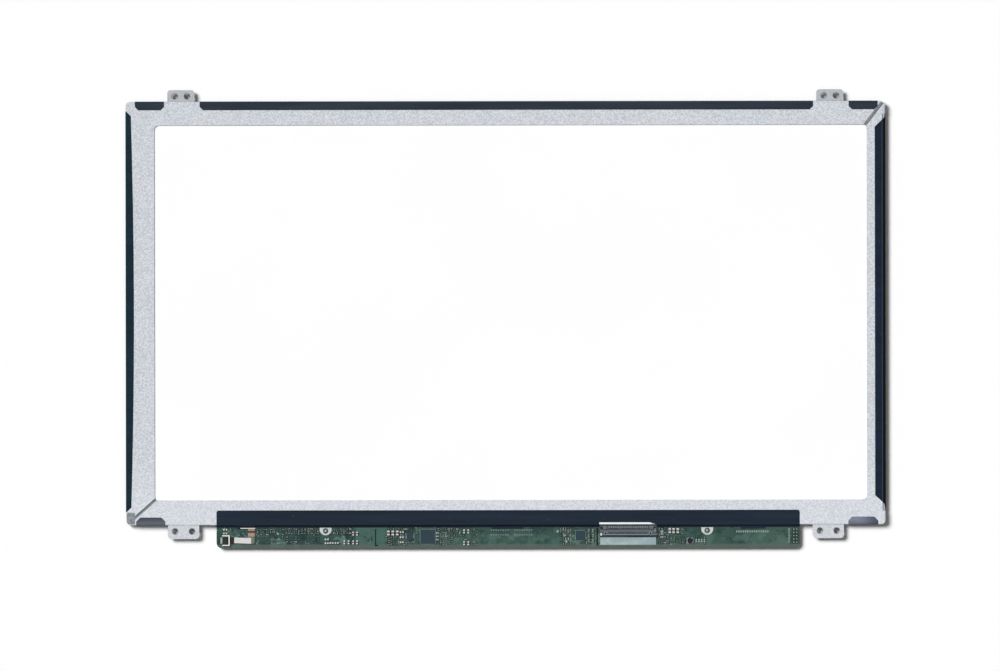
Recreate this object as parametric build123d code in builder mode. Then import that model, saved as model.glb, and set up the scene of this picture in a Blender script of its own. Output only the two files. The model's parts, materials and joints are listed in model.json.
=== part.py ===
from build123d import *
from math import atan, tan
import os

# Screen panel of a laptop: a thin LCD module that lies face down, rear side up.
# X runs across the panel and Y up it, as seen from the rear. Z is up, from the
# front face at zero. The origin is under the middle of the panel's outline.

# Plan of the body
body_width = 359.5
body_height = 200.5
body_corner_radius = 2.0
side_border = 7.65
top_border = 3.4
bottom_border = 3.6

# Rear window between the steel legs, measured from the body's edges
window_margin_left = 13.65
window_margin_right = 8.85
window_margin_top = 11.3
window_margin_bottom = 11.8
window_corner_radius = 2.4

# Layers, from the front face to the rear
polariser_thickness = 0.2
glass_thickness = 0.5
rim_tape_thickness = 0.1
lip_thickness = 0.25
prism_thickness = 0.2
diffuser_thickness = 0.15
light_guide_thickness = 0.65
reflector_thickness = 0.2
steel_thickness = 0.3
tape_thickness = 0.1

# Fits
fit_clearance = 0.1
sheet_clearance = 0.2

# Steel rear frame, pressed as two L-shaped pairs of legs
bend_radius = 0.2
wall_height = 1.95
bevel_width = 1.45
bevel_drop = 0.8
bevel_margin_top = 6.2
bevel_margin_bottom = 6.5
mitre_slot_width = 1.9
mitre_inset_inner = 0.7
mitre_inset_outer = 0.8
seam_width = 1.8
seam_corner_inset = 4.3
seam_corner_height = 3.5
corner_pad_height = 6.0
lap_reach = 4.0
lap_overlap = 0.8
lap_setback = 0.3

# Fixing ears
ear_drop = 0.85
ear_hole_diameter = 2.7
top_ear_inset = 26.25
top_ear_width = 12.8
top_ear_reach = 5.4
top_ear_corner = 1.5
top_ear_pitch = 5.85
top_ear_hole_reach = 2.5
bottom_ear_inset = 27.25
bottom_ear_width = 14.8
bottom_ear_reach = 6.5
bottom_ear_corner = 1.8
bottom_ear_pitch = 8.0
bottom_ear_hole_reach = 2.9

# Black edge tapes that wrap the body's sides
front_flange = 2.3
left_tape_margin_top = 4.7
left_tape_margin_bottom = 6.3
left_tape_end_width = 2.6
left_tape_middle_width = 3.95
left_tape_chamfer = 2.2
right_tape_margin_top = 7.4
right_tape_margin_bottom = 10.0
right_tape_width = 5.05
right_tape_chamfer_top = 5.0
right_tape_chamfer_bottom = 3.8
right_tape_shoulder = 0.85
right_tape_tail = 2.2
top_tape_depth = 4.15
top_tape_chamfer = 1.6
top_tape_margin_left = 4.5
top_tape_margin_right = 3.65
top_tape_gap_left = 1.55
top_tape_gap_right = 2.5
bottom_tape_depth = 3.7
bottom_tape_chamfer = 1.9
bottom_tape_margin_left = 4.85
bottom_tape_margin_right = 3.6
bottom_tape_gap_left = 1.2
bottom_tape_gap_right = 2.1

# Light guide, its pocket in the mould frame and the lip that carries the sheets
guide_margin_side = 1.4
guide_margin_top = 1.2
guide_margin_bottom = 0.7
lip_margin = 0.7

# Glass cell
cell_inset_side = 1.35
cell_inset_top = 1.0
ledge_inset = 0.2
ledge_depth = 2.1

# Circuit board and the films that join it to the glass
board_reach = 10.9
board_inset_left = 42.85
board_inset_right = 40.75
board_thickness = 0.6
board_lift = 1.1
board_gap = 0.15
board_corner_radius = 2.6
film_count = 4
film_width = 34.0
film_thickness = 0.05
film_gap = 0.5
film_margin = 1.2
film_board_bond = 2.8
film_rise_run = 1.8
driver_length = 19.0
driver_width = 1.3
driver_height = 0.3
driver_gap = 0.9

# Cover tape over the joint between the steel and the board
cover_reach = 7.0
cover_slope_run = 0.55
cover_board_bond = 0.65
cover_corner_radius = 1.1
cover_notch_reach = 1.2
cover_notch_gap = 0.3
cover_notch_slant = 3.5

# Light bar: flexible strip, light-emitting diodes and the tail to the board
led_pitch = 7.2
led_length = 3.0
led_depth = 0.9
led_height = 0.6
led_end_margin = 4.0
flex_thickness = 0.12
flex_overlap = 0.6
flex_end_margin = 1.5
tail_offset = 16.45
tail_width = 3.1
tail_lift = 0.17
tail_slope_run = 1.4
tail_corner_radius = 0.8
tunnel_width = 7.8
tunnel_gap = 0.05

# Light bar connector with its flip latch
plug_inset = 2.7
plug_drop = 6.1
plug_depth = 3.5
plug_width = 5.0
plug_height = 0.9
plug_floor = 0.15
plug_arm = 0.8
plug_roof_depth = 0.75
plug_roof_thickness = 0.28
plug_flex_depth = 2.1
plug_contact_count = 6
plug_contact_pitch = 0.5
plug_contact_width = 0.2
plug_contact_thickness = 0.08
plug_contact_gap = 0.03
plug_tail_length = 0.9
latch_thickness = 0.38
latch_clearance = 0.06
latch_pivot_inset = 1.25
latch_pin_radius = 0.13
latch_pin_length = 0.35
latch_pin_clearance = 0.04
latch_edge_chamfer = 0.12
label_length = 8.0
label_width = 2.7
label_thickness = 0.06
label_offset = 6.15
label_turn = -2.0
stiffener_length = 1.7
stiffener_thickness = 0.1
stiffener_gap = 0.3

# Video connector
socket_share = 0.7057
socket_width = 26.8
socket_depth = 5.4
socket_height = 1.0
socket_setback = 0.2
shell_thickness = 0.15
socket_base_height = 0.5
socket_base_setback = 0.45
socket_end_block = 1.4
socket_tongue_setback = 0.4
socket_contact_count = 40
socket_contact_pitch = 0.5
socket_contact_width = 0.22
socket_contact_thickness = 0.08
socket_tail_length = 0.35
shell_slot_count = 9
shell_slot_pitch = 2.7
shell_slot_rows = 2
shell_slot_row_pitch = 2.2
shell_slot_length = 1.5
shell_slot_width = 0.45
shell_foot_length = 1.1
shell_foot_width = 0.5
shell_foot_pitch = 2.4

# Chips, pads and small parts on the board, placed by a share of the board's
# length and by a distance down from the cover tape
timing_share = 0.362
timing_size = 6.7
timing_down = 4.4
chip_height = 0.8
chip_chamfer = 0.1
memory_offset = -8.4
memory_length = 4.4
memory_width = 2.9
memory_down = 4.0
lead_length = 0.8
lead_pitch = 0.65
lead_width = 0.3
lead_height = 0.15
leads_per_side = 4
power_share = 0.624
power_size = 4.5
power_down = 3.9
inductor_share = 0.812
inductor_length = 3.0
inductor_width = 2.2
inductor_height = 1.0
inductor_down = 6.4
pad_shares = (0.187, 0.8414)
pad_width = 5.7
pad_down = 1.6
pad_hole_drop = 0.8
pad_hole_diameter = 1.6
pad_thickness = 0.05
landing_gap = 0.2
landing_margin = 1.4
capacitor_length = 1.6
capacitor_width = 0.8
capacitor_height = 0.7
bulk_length = 2.0
bulk_width = 1.25
bulk_height = 0.9
resistor_length = 1.0
resistor_width = 0.5
resistor_height = 0.35
plug_share = 0.0149
filter_share = 0.2285
middle_share = 0.4287

# Stations of the small parts: (share, sideways, down, turn)
capacitor_stations = (
    (plug_share, 0.0, 0.9, 0),
    (plug_share, 0.0, 2.7, 0),
    (pad_shares[0], 0.5, 5.6, 0),
    (pad_shares[0], 2.8, 7.3, 0),
    (pad_shares[0], 5.2, 7.3, 0),
    (pad_shares[0], 0.5, 7.4, 0),
    (filter_share, 1.6, 2.9, 90),
    (filter_share, 3.4, 2.9, 90),
    (filter_share, -2.6, 7.0, 90),
    (filter_share, -0.6, 7.0, 90),
    (filter_share, 1.6, 7.0, 90),
    (filter_share, 3.4, 7.0, 90),
    (timing_share, -12.3, 2.2, 0),
    (timing_share, -12.3, 4.6, 0),
    (timing_share, -12.3, 7.0, 0),
    (middle_share, -1.2, 1.9, 90),
    (middle_share, 0.8, 1.9, 90),
    (middle_share, -1.2, 7.5, 90),
    (middle_share, 0.8, 7.5, 90),
    (power_share, 3.9, 1.6, 90),
    (power_share, 3.9, 4.0, 90),
    (power_share, 3.9, 6.4, 90),
    (power_share, 5.9, 1.6, 90),
    (power_share, 5.9, 4.0, 90),
    (power_share, 5.9, 6.4, 90),
)
bulk_stations = (
    (timing_share, -18.6, 2.6, 90),
    (timing_share, -16.5, 2.6, 90),
    (timing_share, -14.4, 2.6, 90),
    (socket_share, 19.7, 1.65, 90),
    (socket_share, 21.5, 1.65, 90),
    (socket_share, 23.5, 1.65, 90),
)
resistor_stations = (
    (timing_share, 4.5, 2.6, 0),
    (timing_share, 4.5, 4.2, 0),
    (timing_share, 4.5, 5.8, 0),
    (power_share, -4.7, 1.4, 90),
    (power_share, -4.7, 3.9, 90),
    (power_share, -4.7, 6.4, 90),
    (socket_share, 16.0, 1.9, 0),
    (socket_share, 16.0, 3.3, 0),
    (socket_share, 16.0, 4.7, 0),
    (inductor_share, 2.9, 6.4, 90),
    (inductor_share, 4.2, 6.4, 90),
    (inductor_share, 5.5, 6.4, 90),
    (inductor_share, 6.8, 6.4, 90),
)

# Levels worked out from the layers
cf_front = polariser_thickness
tft_front = cf_front + glass_thickness
tft_rear = tft_front + glass_thickness
rim_front = tft_rear + polariser_thickness
lip_front = rim_front + rim_tape_thickness
upper_prism_front = lip_front + lip_thickness
lower_prism_front = upper_prism_front + prism_thickness
diffuser_front = lower_prism_front + prism_thickness
guide_front = diffuser_front + diffuser_thickness
guide_rear = guide_front + light_guide_thickness
frame_front = guide_rear + max(reflector_thickness, steel_thickness)
frame_rear = frame_front + steel_thickness
lap_front = frame_front - steel_thickness
tape_front = cf_front - tape_thickness
tape_rear = frame_rear + tape_thickness
wall_low = frame_rear - wall_height
ear_front = frame_rear - ear_drop - steel_thickness
tape_split = ear_front - fit_clearance
board_front = tft_front + board_lift
board_rear = board_front + board_thickness
tail_front = board_rear + tail_lift
tail_rear = tail_front + flex_thickness

# Places in plan worked out from the body
half_width = body_width / 2
overall_height = body_height + top_ear_reach + board_reach
body_top = overall_height / 2 - top_ear_reach
body_bottom = body_top - body_height
body_middle = (body_top + body_bottom) / 2
beyond = body_height
frame_half = half_width - tape_thickness
frame_top = body_top - tape_thickness
frame_bottom = body_bottom + tape_thickness
window_left = -half_width + window_margin_left
window_right = half_width - window_margin_right
window_top = body_top - window_margin_top
window_bottom = body_bottom + window_margin_bottom
active_half = half_width - side_border
active_top = body_top - top_border
active_bottom = body_bottom + bottom_border

# Light guide, sheets and light bar in plan
guide_half = active_half + guide_margin_side
guide_top = active_top + guide_margin_top
guide_bottom = active_bottom - guide_margin_bottom
lip_half = active_half + lip_margin
lip_top = active_top + lip_margin
lip_bottom = active_bottom - lip_margin
led_top = guide_bottom - fit_clearance
led_bottom = led_top - led_depth
flex_top = guide_bottom + flex_overlap
pocket_half = guide_half + sheet_clearance
pocket_top = guide_top + sheet_clearance
pocket_bottom = led_bottom - sheet_clearance

# Glass cell in plan
cell_half = half_width - cell_inset_side
cell_top = body_top - cell_inset_top
ledge_bottom = body_bottom + ledge_inset
cf_bottom = ledge_bottom + ledge_depth
polariser_half = half_width - front_flange - sheet_clearance
polariser_top = body_top - front_flange - sheet_clearance
polariser_bottom = cf_bottom + sheet_clearance

# Circuit board and what is on it, in plan
board_left = -half_width + board_inset_left
board_right = half_width - board_inset_right
board_length = board_right - board_left
board_top = body_bottom - board_gap
board_bottom = body_bottom - board_reach
cover_top = body_bottom + cover_reach
cover_slope_top = frame_bottom - fit_clearance / 2
cover_slope_low = cover_slope_top - cover_slope_run
cover_low = cover_slope_low - cover_board_bond
tail_left = board_left + tail_offset - tail_width / 2
tail_right = tail_left + tail_width
tail_slope_top = frame_bottom + steel_thickness
tail_slope_low = tail_slope_top - tail_slope_run
plug_left = board_left + plug_inset
plug_right = plug_left + plug_depth
plug_middle = cover_low - plug_drop
plug_top = board_rear + plug_height
latch_pivot_x = plug_right - latch_pivot_inset
latch_pivot_z = plug_top - latch_thickness / 2
latch_half = plug_width / 2 - plug_arm - latch_clearance


def along(share):
    """X of a station on the circuit board, by its share of the board's length."""
    return board_left + share * board_length


def places(stations):
    """Locations on the board of (share, sideways, down from the cover tape, turn) stations."""
    return [
        Location((along(share) + sideways, cover_low - down, 0), (0, 0, turn))
        for share, sideways, down, turn in stations
    ]


def span(left, right, bottom, top, radius=0.0, mode=Mode.ADD):
    """Draws a rectangle between its four edges in the open sketch."""
    with Locations(((left + right) / 2, (bottom + top) / 2)):
        if radius > 0:
            RectangleRounded(right - left, top - bottom, radius, mode=mode)
        else:
            Rectangle(right - left, top - bottom, mode=mode)


def outline(*points):
    """Draws a closed straight-sided outline in the open sketch."""
    with BuildLine() as border:
        Polyline(*points, close=True)
    make_face(border.edges())


def strip_section(thickness, *points):
    """Draws the section of a bent strip whose lower face follows the points."""
    with BuildLine() as border:
        Polyline(*points)
        offset(amount=thickness, side=Side.LEFT, kind=Kind.INTERSECTION)
    make_face(border.edges())


def body_block(grow, low, high, rear_radius=0.0):
    """Block of the steel outline grown by a distance, with the right-hand bevel.

    Its rear edge is rolled by a radius, or cut to the bend's size where none is given.
    """
    slope = bevel_drop / bevel_width
    fold = frame_half - bevel_width + grow * tan(atan(slope) / 2)
    outside = frame_half + grow + bevel_width
    bevel_top = body_top - bevel_margin_top - grow
    bevel_bottom = body_bottom + bevel_margin_bottom + grow
    with BuildPart() as block:
        with BuildSketch(Plane.XY.offset(low)):
            with Locations((0, body_middle)):
                RectangleRounded(
                    2 * (frame_half + grow),
                    frame_top - frame_bottom + 2 * grow,
                    body_corner_radius + grow,
                )
        extrude(amount=high - low)
        rear_edges = block.faces().sort_by(Axis.Z)[-1].edges()
        if rear_radius > 0:
            fillet(rear_edges, rear_radius)
        else:
            chamfer(rear_edges, bend_radius)
        with BuildSketch(Plane.XZ.offset(-bevel_top)):
            outline((fold, high), (outside, high - (outside - fold) * slope), (outside, high))
        extrude(amount=bevel_top - bevel_bottom, mode=Mode.SUBTRACT)
    return block.part


def draw_window(grow, mode):
    """Draws the rear window, grown by a distance, in the open sketch."""
    span(
        window_left - grow,
        window_right + grow,
        window_bottom - grow,
        window_top + grow,
        window_corner_radius + grow,
        mode,
    )


def frame_tray(lowered):
    """Steel tray with its window, before it is divided: a rear plane and turned-down walls."""
    outer = body_block(0, wall_low, frame_rear - lowered, bend_radius + steel_thickness)
    inner = body_block(-steel_thickness, wall_low, frame_front - lowered)
    with BuildPart() as tray:
        add(outer)
        add(inner, mode=Mode.SUBTRACT)
        with BuildSketch(Plane.XY.offset(wall_low)):
            draw_window(0, Mode.ADD)
        extrude(amount=wall_height, mode=Mode.SUBTRACT)
    return tray.part


# Where the steel pairs meet: an open mitre at the top right, a seam at the bottom left
mitre_inner = Vector(window_right - mitre_inset_inner, window_top)
mitre_outer = Vector(half_width - mitre_inset_outer, body_top)
mitre_near = mitre_inner * 2 - mitre_outer
mitre_far = mitre_outer * 2 - mitre_inner
seam_outer = Vector(-half_width + seam_corner_inset, body_bottom + seam_corner_height)
seam_inner = Vector(window_left, window_bottom) * 2 - seam_outer
slot_half = Vector(mitre_slot_width / 2, 0)
seam_half = Vector(0, seam_width / 2)
pad_edge = body_bottom + corner_pad_height
middle = (0, body_middle)


def plan(point):
    """X and Y of a vector."""
    return (point.X, point.Y)


def draw_upper_region():
    """Draws the part of the plan that the upper pair of legs takes."""
    outline(
        middle,
        plan(seam_inner + seam_half),
        plan(seam_outer + seam_half),
        (seam_outer.X, pad_edge),
        (-half_width - beyond, pad_edge),
        (-half_width - beyond, body_top + beyond),
        (mitre_far.X, body_top + beyond),
        plan(mitre_far - slot_half),
        plan(mitre_near - slot_half),
    )


def draw_lower_region():
    """Draws the part of the plan that the lower pair of legs takes in the rear plane."""
    outline(
        middle,
        plan(mitre_near + slot_half),
        plan(mitre_far + slot_half),
        (half_width + beyond, body_top + beyond),
        (half_width + beyond, body_bottom - beyond),
        (seam_outer.X, body_bottom - beyond),
        plan(seam_outer - seam_half),
        plan(seam_inner - seam_half),
    )


def draw_laps(margin):
    """Draws where the lower pair passes, one sheet lower, under the ends of the upper pair."""
    lap_in = Vector(lap_overlap + margin, 0)
    lap_out = Vector(lap_reach + margin, 0)
    outline(
        plan(mitre_near + slot_half + lap_in),
        plan(mitre_far + slot_half + lap_in),
        plan(mitre_far - lap_out),
        plan(mitre_near - lap_out),
    )
    lap_down = Vector(0, lap_overlap + margin)
    lap_up = Vector(0, lap_reach + margin)
    seam_run = seam_inner - seam_outer
    lap_turn = seam_outer + seam_run * (lap_in.X / seam_run.X)
    outline(
        plan(seam_inner - seam_half - lap_down),
        plan(seam_inner + lap_up),
        plan(seam_outer + lap_up),
        (-half_width, seam_outer.Y + lap_reach + margin),
        (-half_width, body_bottom),
        (lap_turn.X, body_bottom),
        plan(lap_turn - seam_half - lap_down),
    )
    draw_window(lap_setback - margin, Mode.SUBTRACT)


def add_ear(centre, edge, outward, width, reach, corner, pitch, hole_reach):
    """Adds a fixing ear with two holes to the open steel piece, below its rear plane."""
    with BuildSketch(Plane.XY.offset(wall_low)) as below:
        with Locations((centre, edge)):
            Rectangle(width, 2 * (steel_thickness + bend_radius))
    extrude(below.sketch, amount=ear_front - wall_low, mode=Mode.SUBTRACT)
    with BuildSketch(Plane.XY.offset(ear_front)) as plate:
        with Locations((centre, edge + outward * (reach - steel_thickness) / 2)):
            Rectangle(width, reach + steel_thickness)
        fillet(plate.vertices().sort_by(Axis((0, 0, 0), (0, outward, 0)))[-2:], corner)
        with Locations((centre, edge + outward * hole_reach)):
            with GridLocations(pitch, 0, 2, 1):
                Circle(ear_hole_diameter / 2, mode=Mode.SUBTRACT)
    extrude(plate.sketch, amount=steel_thickness)


# Upper steel pair: left and top legs, with the two top ears
tray = frame_tray(0)
with BuildPart() as rear_frame_upper:
    add(tray)
    with BuildSketch(Plane.XY):
        draw_upper_region()
    extrude(amount=tape_rear, mode=Mode.INTERSECT)
    for side in (-1, 1):
        add_ear(
            side * (half_width - top_ear_inset),
            frame_top,
            1,
            top_ear_width,
            top_ear_reach + tape_thickness,
            top_ear_corner,
            top_ear_pitch,
            top_ear_hole_reach + tape_thickness,
        )

# Lower steel pair: bottom and right legs, bottom ears, laps and the lowered corner
lowered_tray = frame_tray(steel_thickness)
lap_bound = body_block(-steel_thickness, lap_front, frame_front)
with BuildPart() as lap_plates:
    with BuildSketch(Plane.XY.offset(lap_front)):
        draw_laps(0)
    extrude(amount=steel_thickness)
    add(lap_bound, mode=Mode.INTERSECT)
with BuildPart() as corner_pad:
    with BuildSketch(Plane.XY.offset(wall_low)):
        span(
            -half_width,
            seam_outer.X + lap_overlap,
            body_bottom,
            pad_edge - fit_clearance,
        )
    extrude(amount=wall_height)
    add(lowered_tray, mode=Mode.INTERSECT)
with BuildPart() as rear_frame_lower:
    add(tray)
    with BuildSketch(Plane.XY):
        draw_lower_region()
    extrude(amount=tape_rear, mode=Mode.INTERSECT)
    add(lap_plates.part)
    add(corner_pad.part)
    for side in (-1, 1):
        add_ear(
            side * (half_width - bottom_ear_inset),
            frame_bottom,
            -1,
            bottom_ear_width,
            bottom_ear_reach + tape_thickness,
            bottom_ear_corner,
            bottom_ear_pitch,
            bottom_ear_hole_reach + tape_thickness,
        )
    # Slot in the bottom wall for the light bar's tail
    with BuildSketch(Plane.XY.offset(tail_front - sheet_clearance)):
        span(
            tail_left - sheet_clearance,
            tail_right + sheet_clearance,
            body_bottom,
            frame_bottom + steel_thickness + bend_radius,
        )
    extrude(amount=frame_front - tail_front + sheet_clearance, mode=Mode.SUBTRACT)

# Black plastic frame that holds the layers, with a lip in front of the sheets
mould_block = body_block(-steel_thickness - fit_clearance, lip_front, frame_front)
with BuildPart() as mould_frame:
    add(mould_block)
    with BuildSketch(Plane.XY.offset(upper_prism_front)):
        span(-pocket_half, pocket_half, pocket_bottom, pocket_top)
    extrude(amount=frame_front - upper_prism_front, mode=Mode.SUBTRACT)
    with BuildSketch(Plane.XY.offset(lip_front)):
        span(-lip_half, lip_half, lip_bottom, lip_top)
    extrude(amount=lip_thickness, mode=Mode.SUBTRACT)
    with BuildSketch(Plane.XY.offset(lap_front - fit_clearance)):
        draw_laps(fit_clearance)
    extrude(amount=steel_thickness + fit_clearance, mode=Mode.SUBTRACT)
    with BuildSketch(Plane.XY.offset(guide_rear - fit_clearance)):
        span(
            tail_left - sheet_clearance,
            tail_right + sheet_clearance,
            body_bottom,
            pocket_bottom,
        )
    extrude(amount=frame_front - guide_rear + fit_clearance, mode=Mode.SUBTRACT)

# Liquid crystal cell
with BuildPart() as front_polariser:
    with BuildSketch(Plane.XY):
        span(-polariser_half, polariser_half, polariser_bottom, polariser_top)
    extrude(amount=polariser_thickness)

with BuildPart() as colour_filter_glass:
    with BuildSketch(Plane.XY.offset(cf_front)):
        span(-cell_half, cell_half, cf_bottom, cell_top)
    extrude(amount=glass_thickness)

with BuildPart() as tft_glass:
    with BuildSketch(Plane.XY.offset(tft_front)):
        span(-cell_half, cell_half, ledge_bottom, cell_top)
    extrude(amount=glass_thickness)

with BuildPart() as rear_polariser:
    with BuildSketch(Plane.XY.offset(tft_rear)):
        span(-polariser_half, polariser_half, polariser_bottom, polariser_top)
    extrude(amount=polariser_thickness)

with BuildPart() as rim_tape:
    with BuildSketch(Plane.XY.offset(rim_front)):
        span(-polariser_half, polariser_half, polariser_bottom, polariser_top)
        span(-lip_half, lip_half, lip_bottom, lip_top, mode=Mode.SUBTRACT)
    extrude(amount=rim_tape_thickness)

# Backlight sheets, on the lip
with BuildPart() as upper_prism_sheet:
    with BuildSketch(Plane.XY.offset(upper_prism_front)):
        span(-guide_half, guide_half, led_bottom, guide_top)
    extrude(amount=prism_thickness)

with BuildPart() as lower_prism_sheet:
    with BuildSketch(Plane.XY.offset(lower_prism_front)):
        span(-guide_half, guide_half, led_bottom, guide_top)
    extrude(amount=prism_thickness)

with BuildPart() as diffuser_sheet:
    with BuildSketch(Plane.XY.offset(diffuser_front)):
        span(-guide_half, guide_half, led_bottom, guide_top)
    extrude(amount=diffuser_thickness)

with BuildPart() as light_guide_plate:
    with BuildSketch(Plane.XY.offset(guide_front)):
        span(-guide_half, guide_half, guide_bottom, guide_top)
    extrude(amount=light_guide_thickness)

with BuildPart() as reflector_sheet:
    with BuildSketch(Plane.XY.offset(guide_rear)):
        span(-guide_half, guide_half, flex_top + sheet_clearance, guide_top)
    extrude(amount=reflector_thickness)
    with BuildSketch(Plane.XY.offset(lap_front)):
        draw_laps(fit_clearance)
    extrude(amount=steel_thickness, mode=Mode.SUBTRACT)

# Light bar: diodes under a flexible strip, whose tail runs out to the board
led_count = int(2 * (guide_half - led_end_margin) / led_pitch) + 1
with BuildPart() as light_bar_leds:
    with BuildSketch(Plane.XY.offset(guide_rear - led_height)):
        with Locations((0, (led_top + led_bottom) / 2)):
            with GridLocations(led_pitch, 0, led_count, 1):
                Rectangle(led_length, led_depth)
    extrude(amount=led_height)

tail_bottom = plug_middle - tail_width / 2
with BuildPart() as light_bar_flex:
    with BuildSketch(Plane.XY.offset(guide_rear)):
        span(flex_end_margin - guide_half, guide_half - flex_end_margin, led_bottom, flex_top)
    extrude(amount=flex_thickness)
    with BuildSketch(Plane.YZ.offset(tail_left)):
        strip_section(
            flex_thickness,
            (tail_bottom, tail_front),
            (tail_slope_low, tail_front),
            (tail_slope_top, guide_rear),
            (led_bottom, guide_rear),
        )
    extrude(amount=tail_width)
    with BuildSketch(Plane.XY.offset(tail_front)):
        span(
            plug_right - plug_flex_depth,
            tail_right,
            tail_bottom,
            tail_bottom + tail_width,
        )
    extrude(amount=flex_thickness)
    upright = light_bar_flex.edges().filter_by(Axis.Z)
    corner = upright.sort_by_distance((tail_right, tail_bottom, tail_front))[0]
    fillet(corner, tail_corner_radius)

with BuildPart() as flex_label:
    with BuildSketch(Plane.XY.offset(tail_rear)):
        with Locations(Location((plug_right + label_offset, plug_middle, 0), (0, 0, label_turn))):
            Rectangle(label_length, label_width)
    extrude(amount=label_thickness)

with BuildPart() as flex_stiffener:
    with BuildSketch(Plane.XY.offset(tail_rear)):
        span(
            plug_right + stiffener_gap,
            plug_right + stiffener_gap + stiffener_length,
            tail_bottom,
            tail_bottom + tail_width,
        )
    extrude(amount=stiffener_thickness)

# Black tapes that wrap the sides from the front glass to the rear steel
steel_roll = bend_radius + steel_thickness
tape_outer = body_block(tape_thickness, tape_front, tape_rear, steel_roll + tape_thickness)
tape_inner = body_block(0, cf_front, frame_rear, steel_roll)
with BuildPart() as tape_layer:
    add(tape_outer)
    add(tape_inner, mode=Mode.SUBTRACT)
    with BuildSketch(Plane.XY.offset(tape_front)):
        span(
            front_flange - half_width,
            half_width - front_flange,
            body_bottom - beyond,
            body_top - front_flange,
        )
    extrude(amount=tape_thickness, mode=Mode.SUBTRACT)

left_tape_top = body_top - left_tape_margin_top
left_tape_bottom = body_bottom + left_tape_margin_bottom
with BuildPart() as edge_tape_left:
    with BuildSketch(Plane.XY.offset(tape_split)):
        end_x = -half_width + left_tape_end_width
        shoulder_x = end_x - left_tape_chamfer
        with BuildLine():
            Polyline(
                (end_x, left_tape_bottom + left_tape_chamfer),
                (shoulder_x, left_tape_bottom),
                (-half_width, left_tape_bottom),
                (-half_width, left_tape_top),
                (shoulder_x, left_tape_top),
                (end_x, left_tape_top - left_tape_chamfer),
            )
            ThreePointArc(
                (end_x, left_tape_top - left_tape_chamfer),
                (-half_width + left_tape_middle_width, (left_tape_top + left_tape_bottom) / 2),
                (end_x, left_tape_bottom + left_tape_chamfer),
            )
        make_face()
    extrude(amount=tape_rear - tape_split)
    with BuildSketch(Plane.XY.offset(tape_front)):
        span(-half_width, front_flange - half_width, left_tape_bottom, left_tape_top)
    extrude(amount=tape_split - tape_front)
    add(tape_layer.part, mode=Mode.INTERSECT)

right_tape_top = body_top - right_tape_margin_top
right_tape_bottom = body_bottom + right_tape_margin_bottom
with BuildPart() as edge_tape_right:
    with BuildSketch(Plane.XY.offset(tape_split)):
        outline(
            (half_width, right_tape_top),
            (half_width - right_tape_width, right_tape_top - right_tape_chamfer_top),
            (half_width - right_tape_width, right_tape_bottom + right_tape_chamfer_bottom),
            (half_width - right_tape_shoulder, right_tape_bottom),
            (half_width, right_tape_bottom - right_tape_tail),
        )
    extrude(amount=tape_rear - tape_split)
    with BuildSketch(Plane.XY.offset(tape_front)):
        span(half_width - front_flange, half_width, right_tape_bottom, right_tape_top)
    extrude(amount=tape_split - tape_front)
    add(tape_layer.part, mode=Mode.INTERSECT)


def draw_flap(left, right, edge, inward, depth, cut):
    """Draws a tape flap from an edge of the body, with its two free corners cut."""
    outline(
        (left, edge),
        (right, edge),
        (right, edge + inward * (depth - cut)),
        (right - cut, edge + inward * depth),
        (left + cut, edge + inward * depth),
        (left, edge + inward * (depth - cut)),
    )


top_tape_left = -half_width + top_tape_margin_left
top_tape_right = half_width - top_tape_margin_right
top_ear_x = half_width - top_ear_inset
left_of_ear = top_ear_width / 2 + top_tape_gap_left
right_of_ear = top_ear_width / 2 + top_tape_gap_right
top_flaps = (
    (top_tape_left, -top_ear_x - left_of_ear),
    (-top_ear_x + right_of_ear, top_ear_x - left_of_ear),
    (top_ear_x + right_of_ear, top_tape_right),
)
with BuildPart() as edge_tape_top:
    with BuildSketch(Plane.XY.offset(tape_split)):
        for left, right in top_flaps:
            draw_flap(left, right, body_top, -1, top_tape_depth, top_tape_chamfer)
    extrude(amount=tape_rear - tape_split)
    with BuildSketch(Plane.XY.offset(tape_front)):
        span(top_tape_left, top_tape_right, body_top - front_flange, body_top)
    extrude(amount=tape_split - tape_front)
    add(tape_layer.part, mode=Mode.INTERSECT)

bottom_ear_edge = half_width - bottom_ear_inset + bottom_ear_width / 2
with BuildPart() as edge_tape_bottom_left:
    with BuildSketch(Plane.XY.offset(wall_low)):
        draw_flap(
            -half_width + bottom_tape_margin_left,
            -bottom_ear_edge - bottom_tape_gap_left,
            body_bottom,
            1,
            bottom_tape_depth,
            bottom_tape_chamfer,
        )
    extrude(amount=tape_rear - wall_low)
    add(tape_layer.part, mode=Mode.INTERSECT)

with BuildPart() as edge_tape_bottom_right:
    with BuildSketch(Plane.XY.offset(wall_low)):
        draw_flap(
            bottom_ear_edge + bottom_tape_gap_right,
            half_width - bottom_tape_margin_right,
            body_bottom,
            1,
            bottom_tape_depth,
            bottom_tape_chamfer,
        )
    extrude(amount=tape_rear - wall_low)
    add(tape_layer.part, mode=Mode.INTERSECT)

# Films from the glass ledge to the front of the board, each with its driver chip
film_end = board_bottom + film_margin
film_rise_top = film_end + film_board_bond
film_rise_low = film_rise_top + film_rise_run
film_places = [along((index + 0.5) / film_count) for index in range(film_count)]
with BuildPart() as driver_films:
    for film_x in film_places:
        with BuildSketch(Plane.YZ.offset(film_x - film_width / 2)):
            strip_section(
                film_thickness,
                (film_end, board_front - film_thickness),
                (film_rise_top, board_front - film_thickness),
                (film_rise_low, tft_front - film_thickness),
                (cf_bottom - film_gap, tft_front - film_thickness),
            )
    extrude(amount=film_width)

with BuildPart() as driver_chips:
    with BuildSketch(Plane.XY.offset(tft_front)):
        with Locations(*[(x, ledge_bottom - driver_gap - driver_width / 2) for x in film_places]):
            Rectangle(driver_length, driver_width)
    extrude(amount=driver_height)

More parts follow.
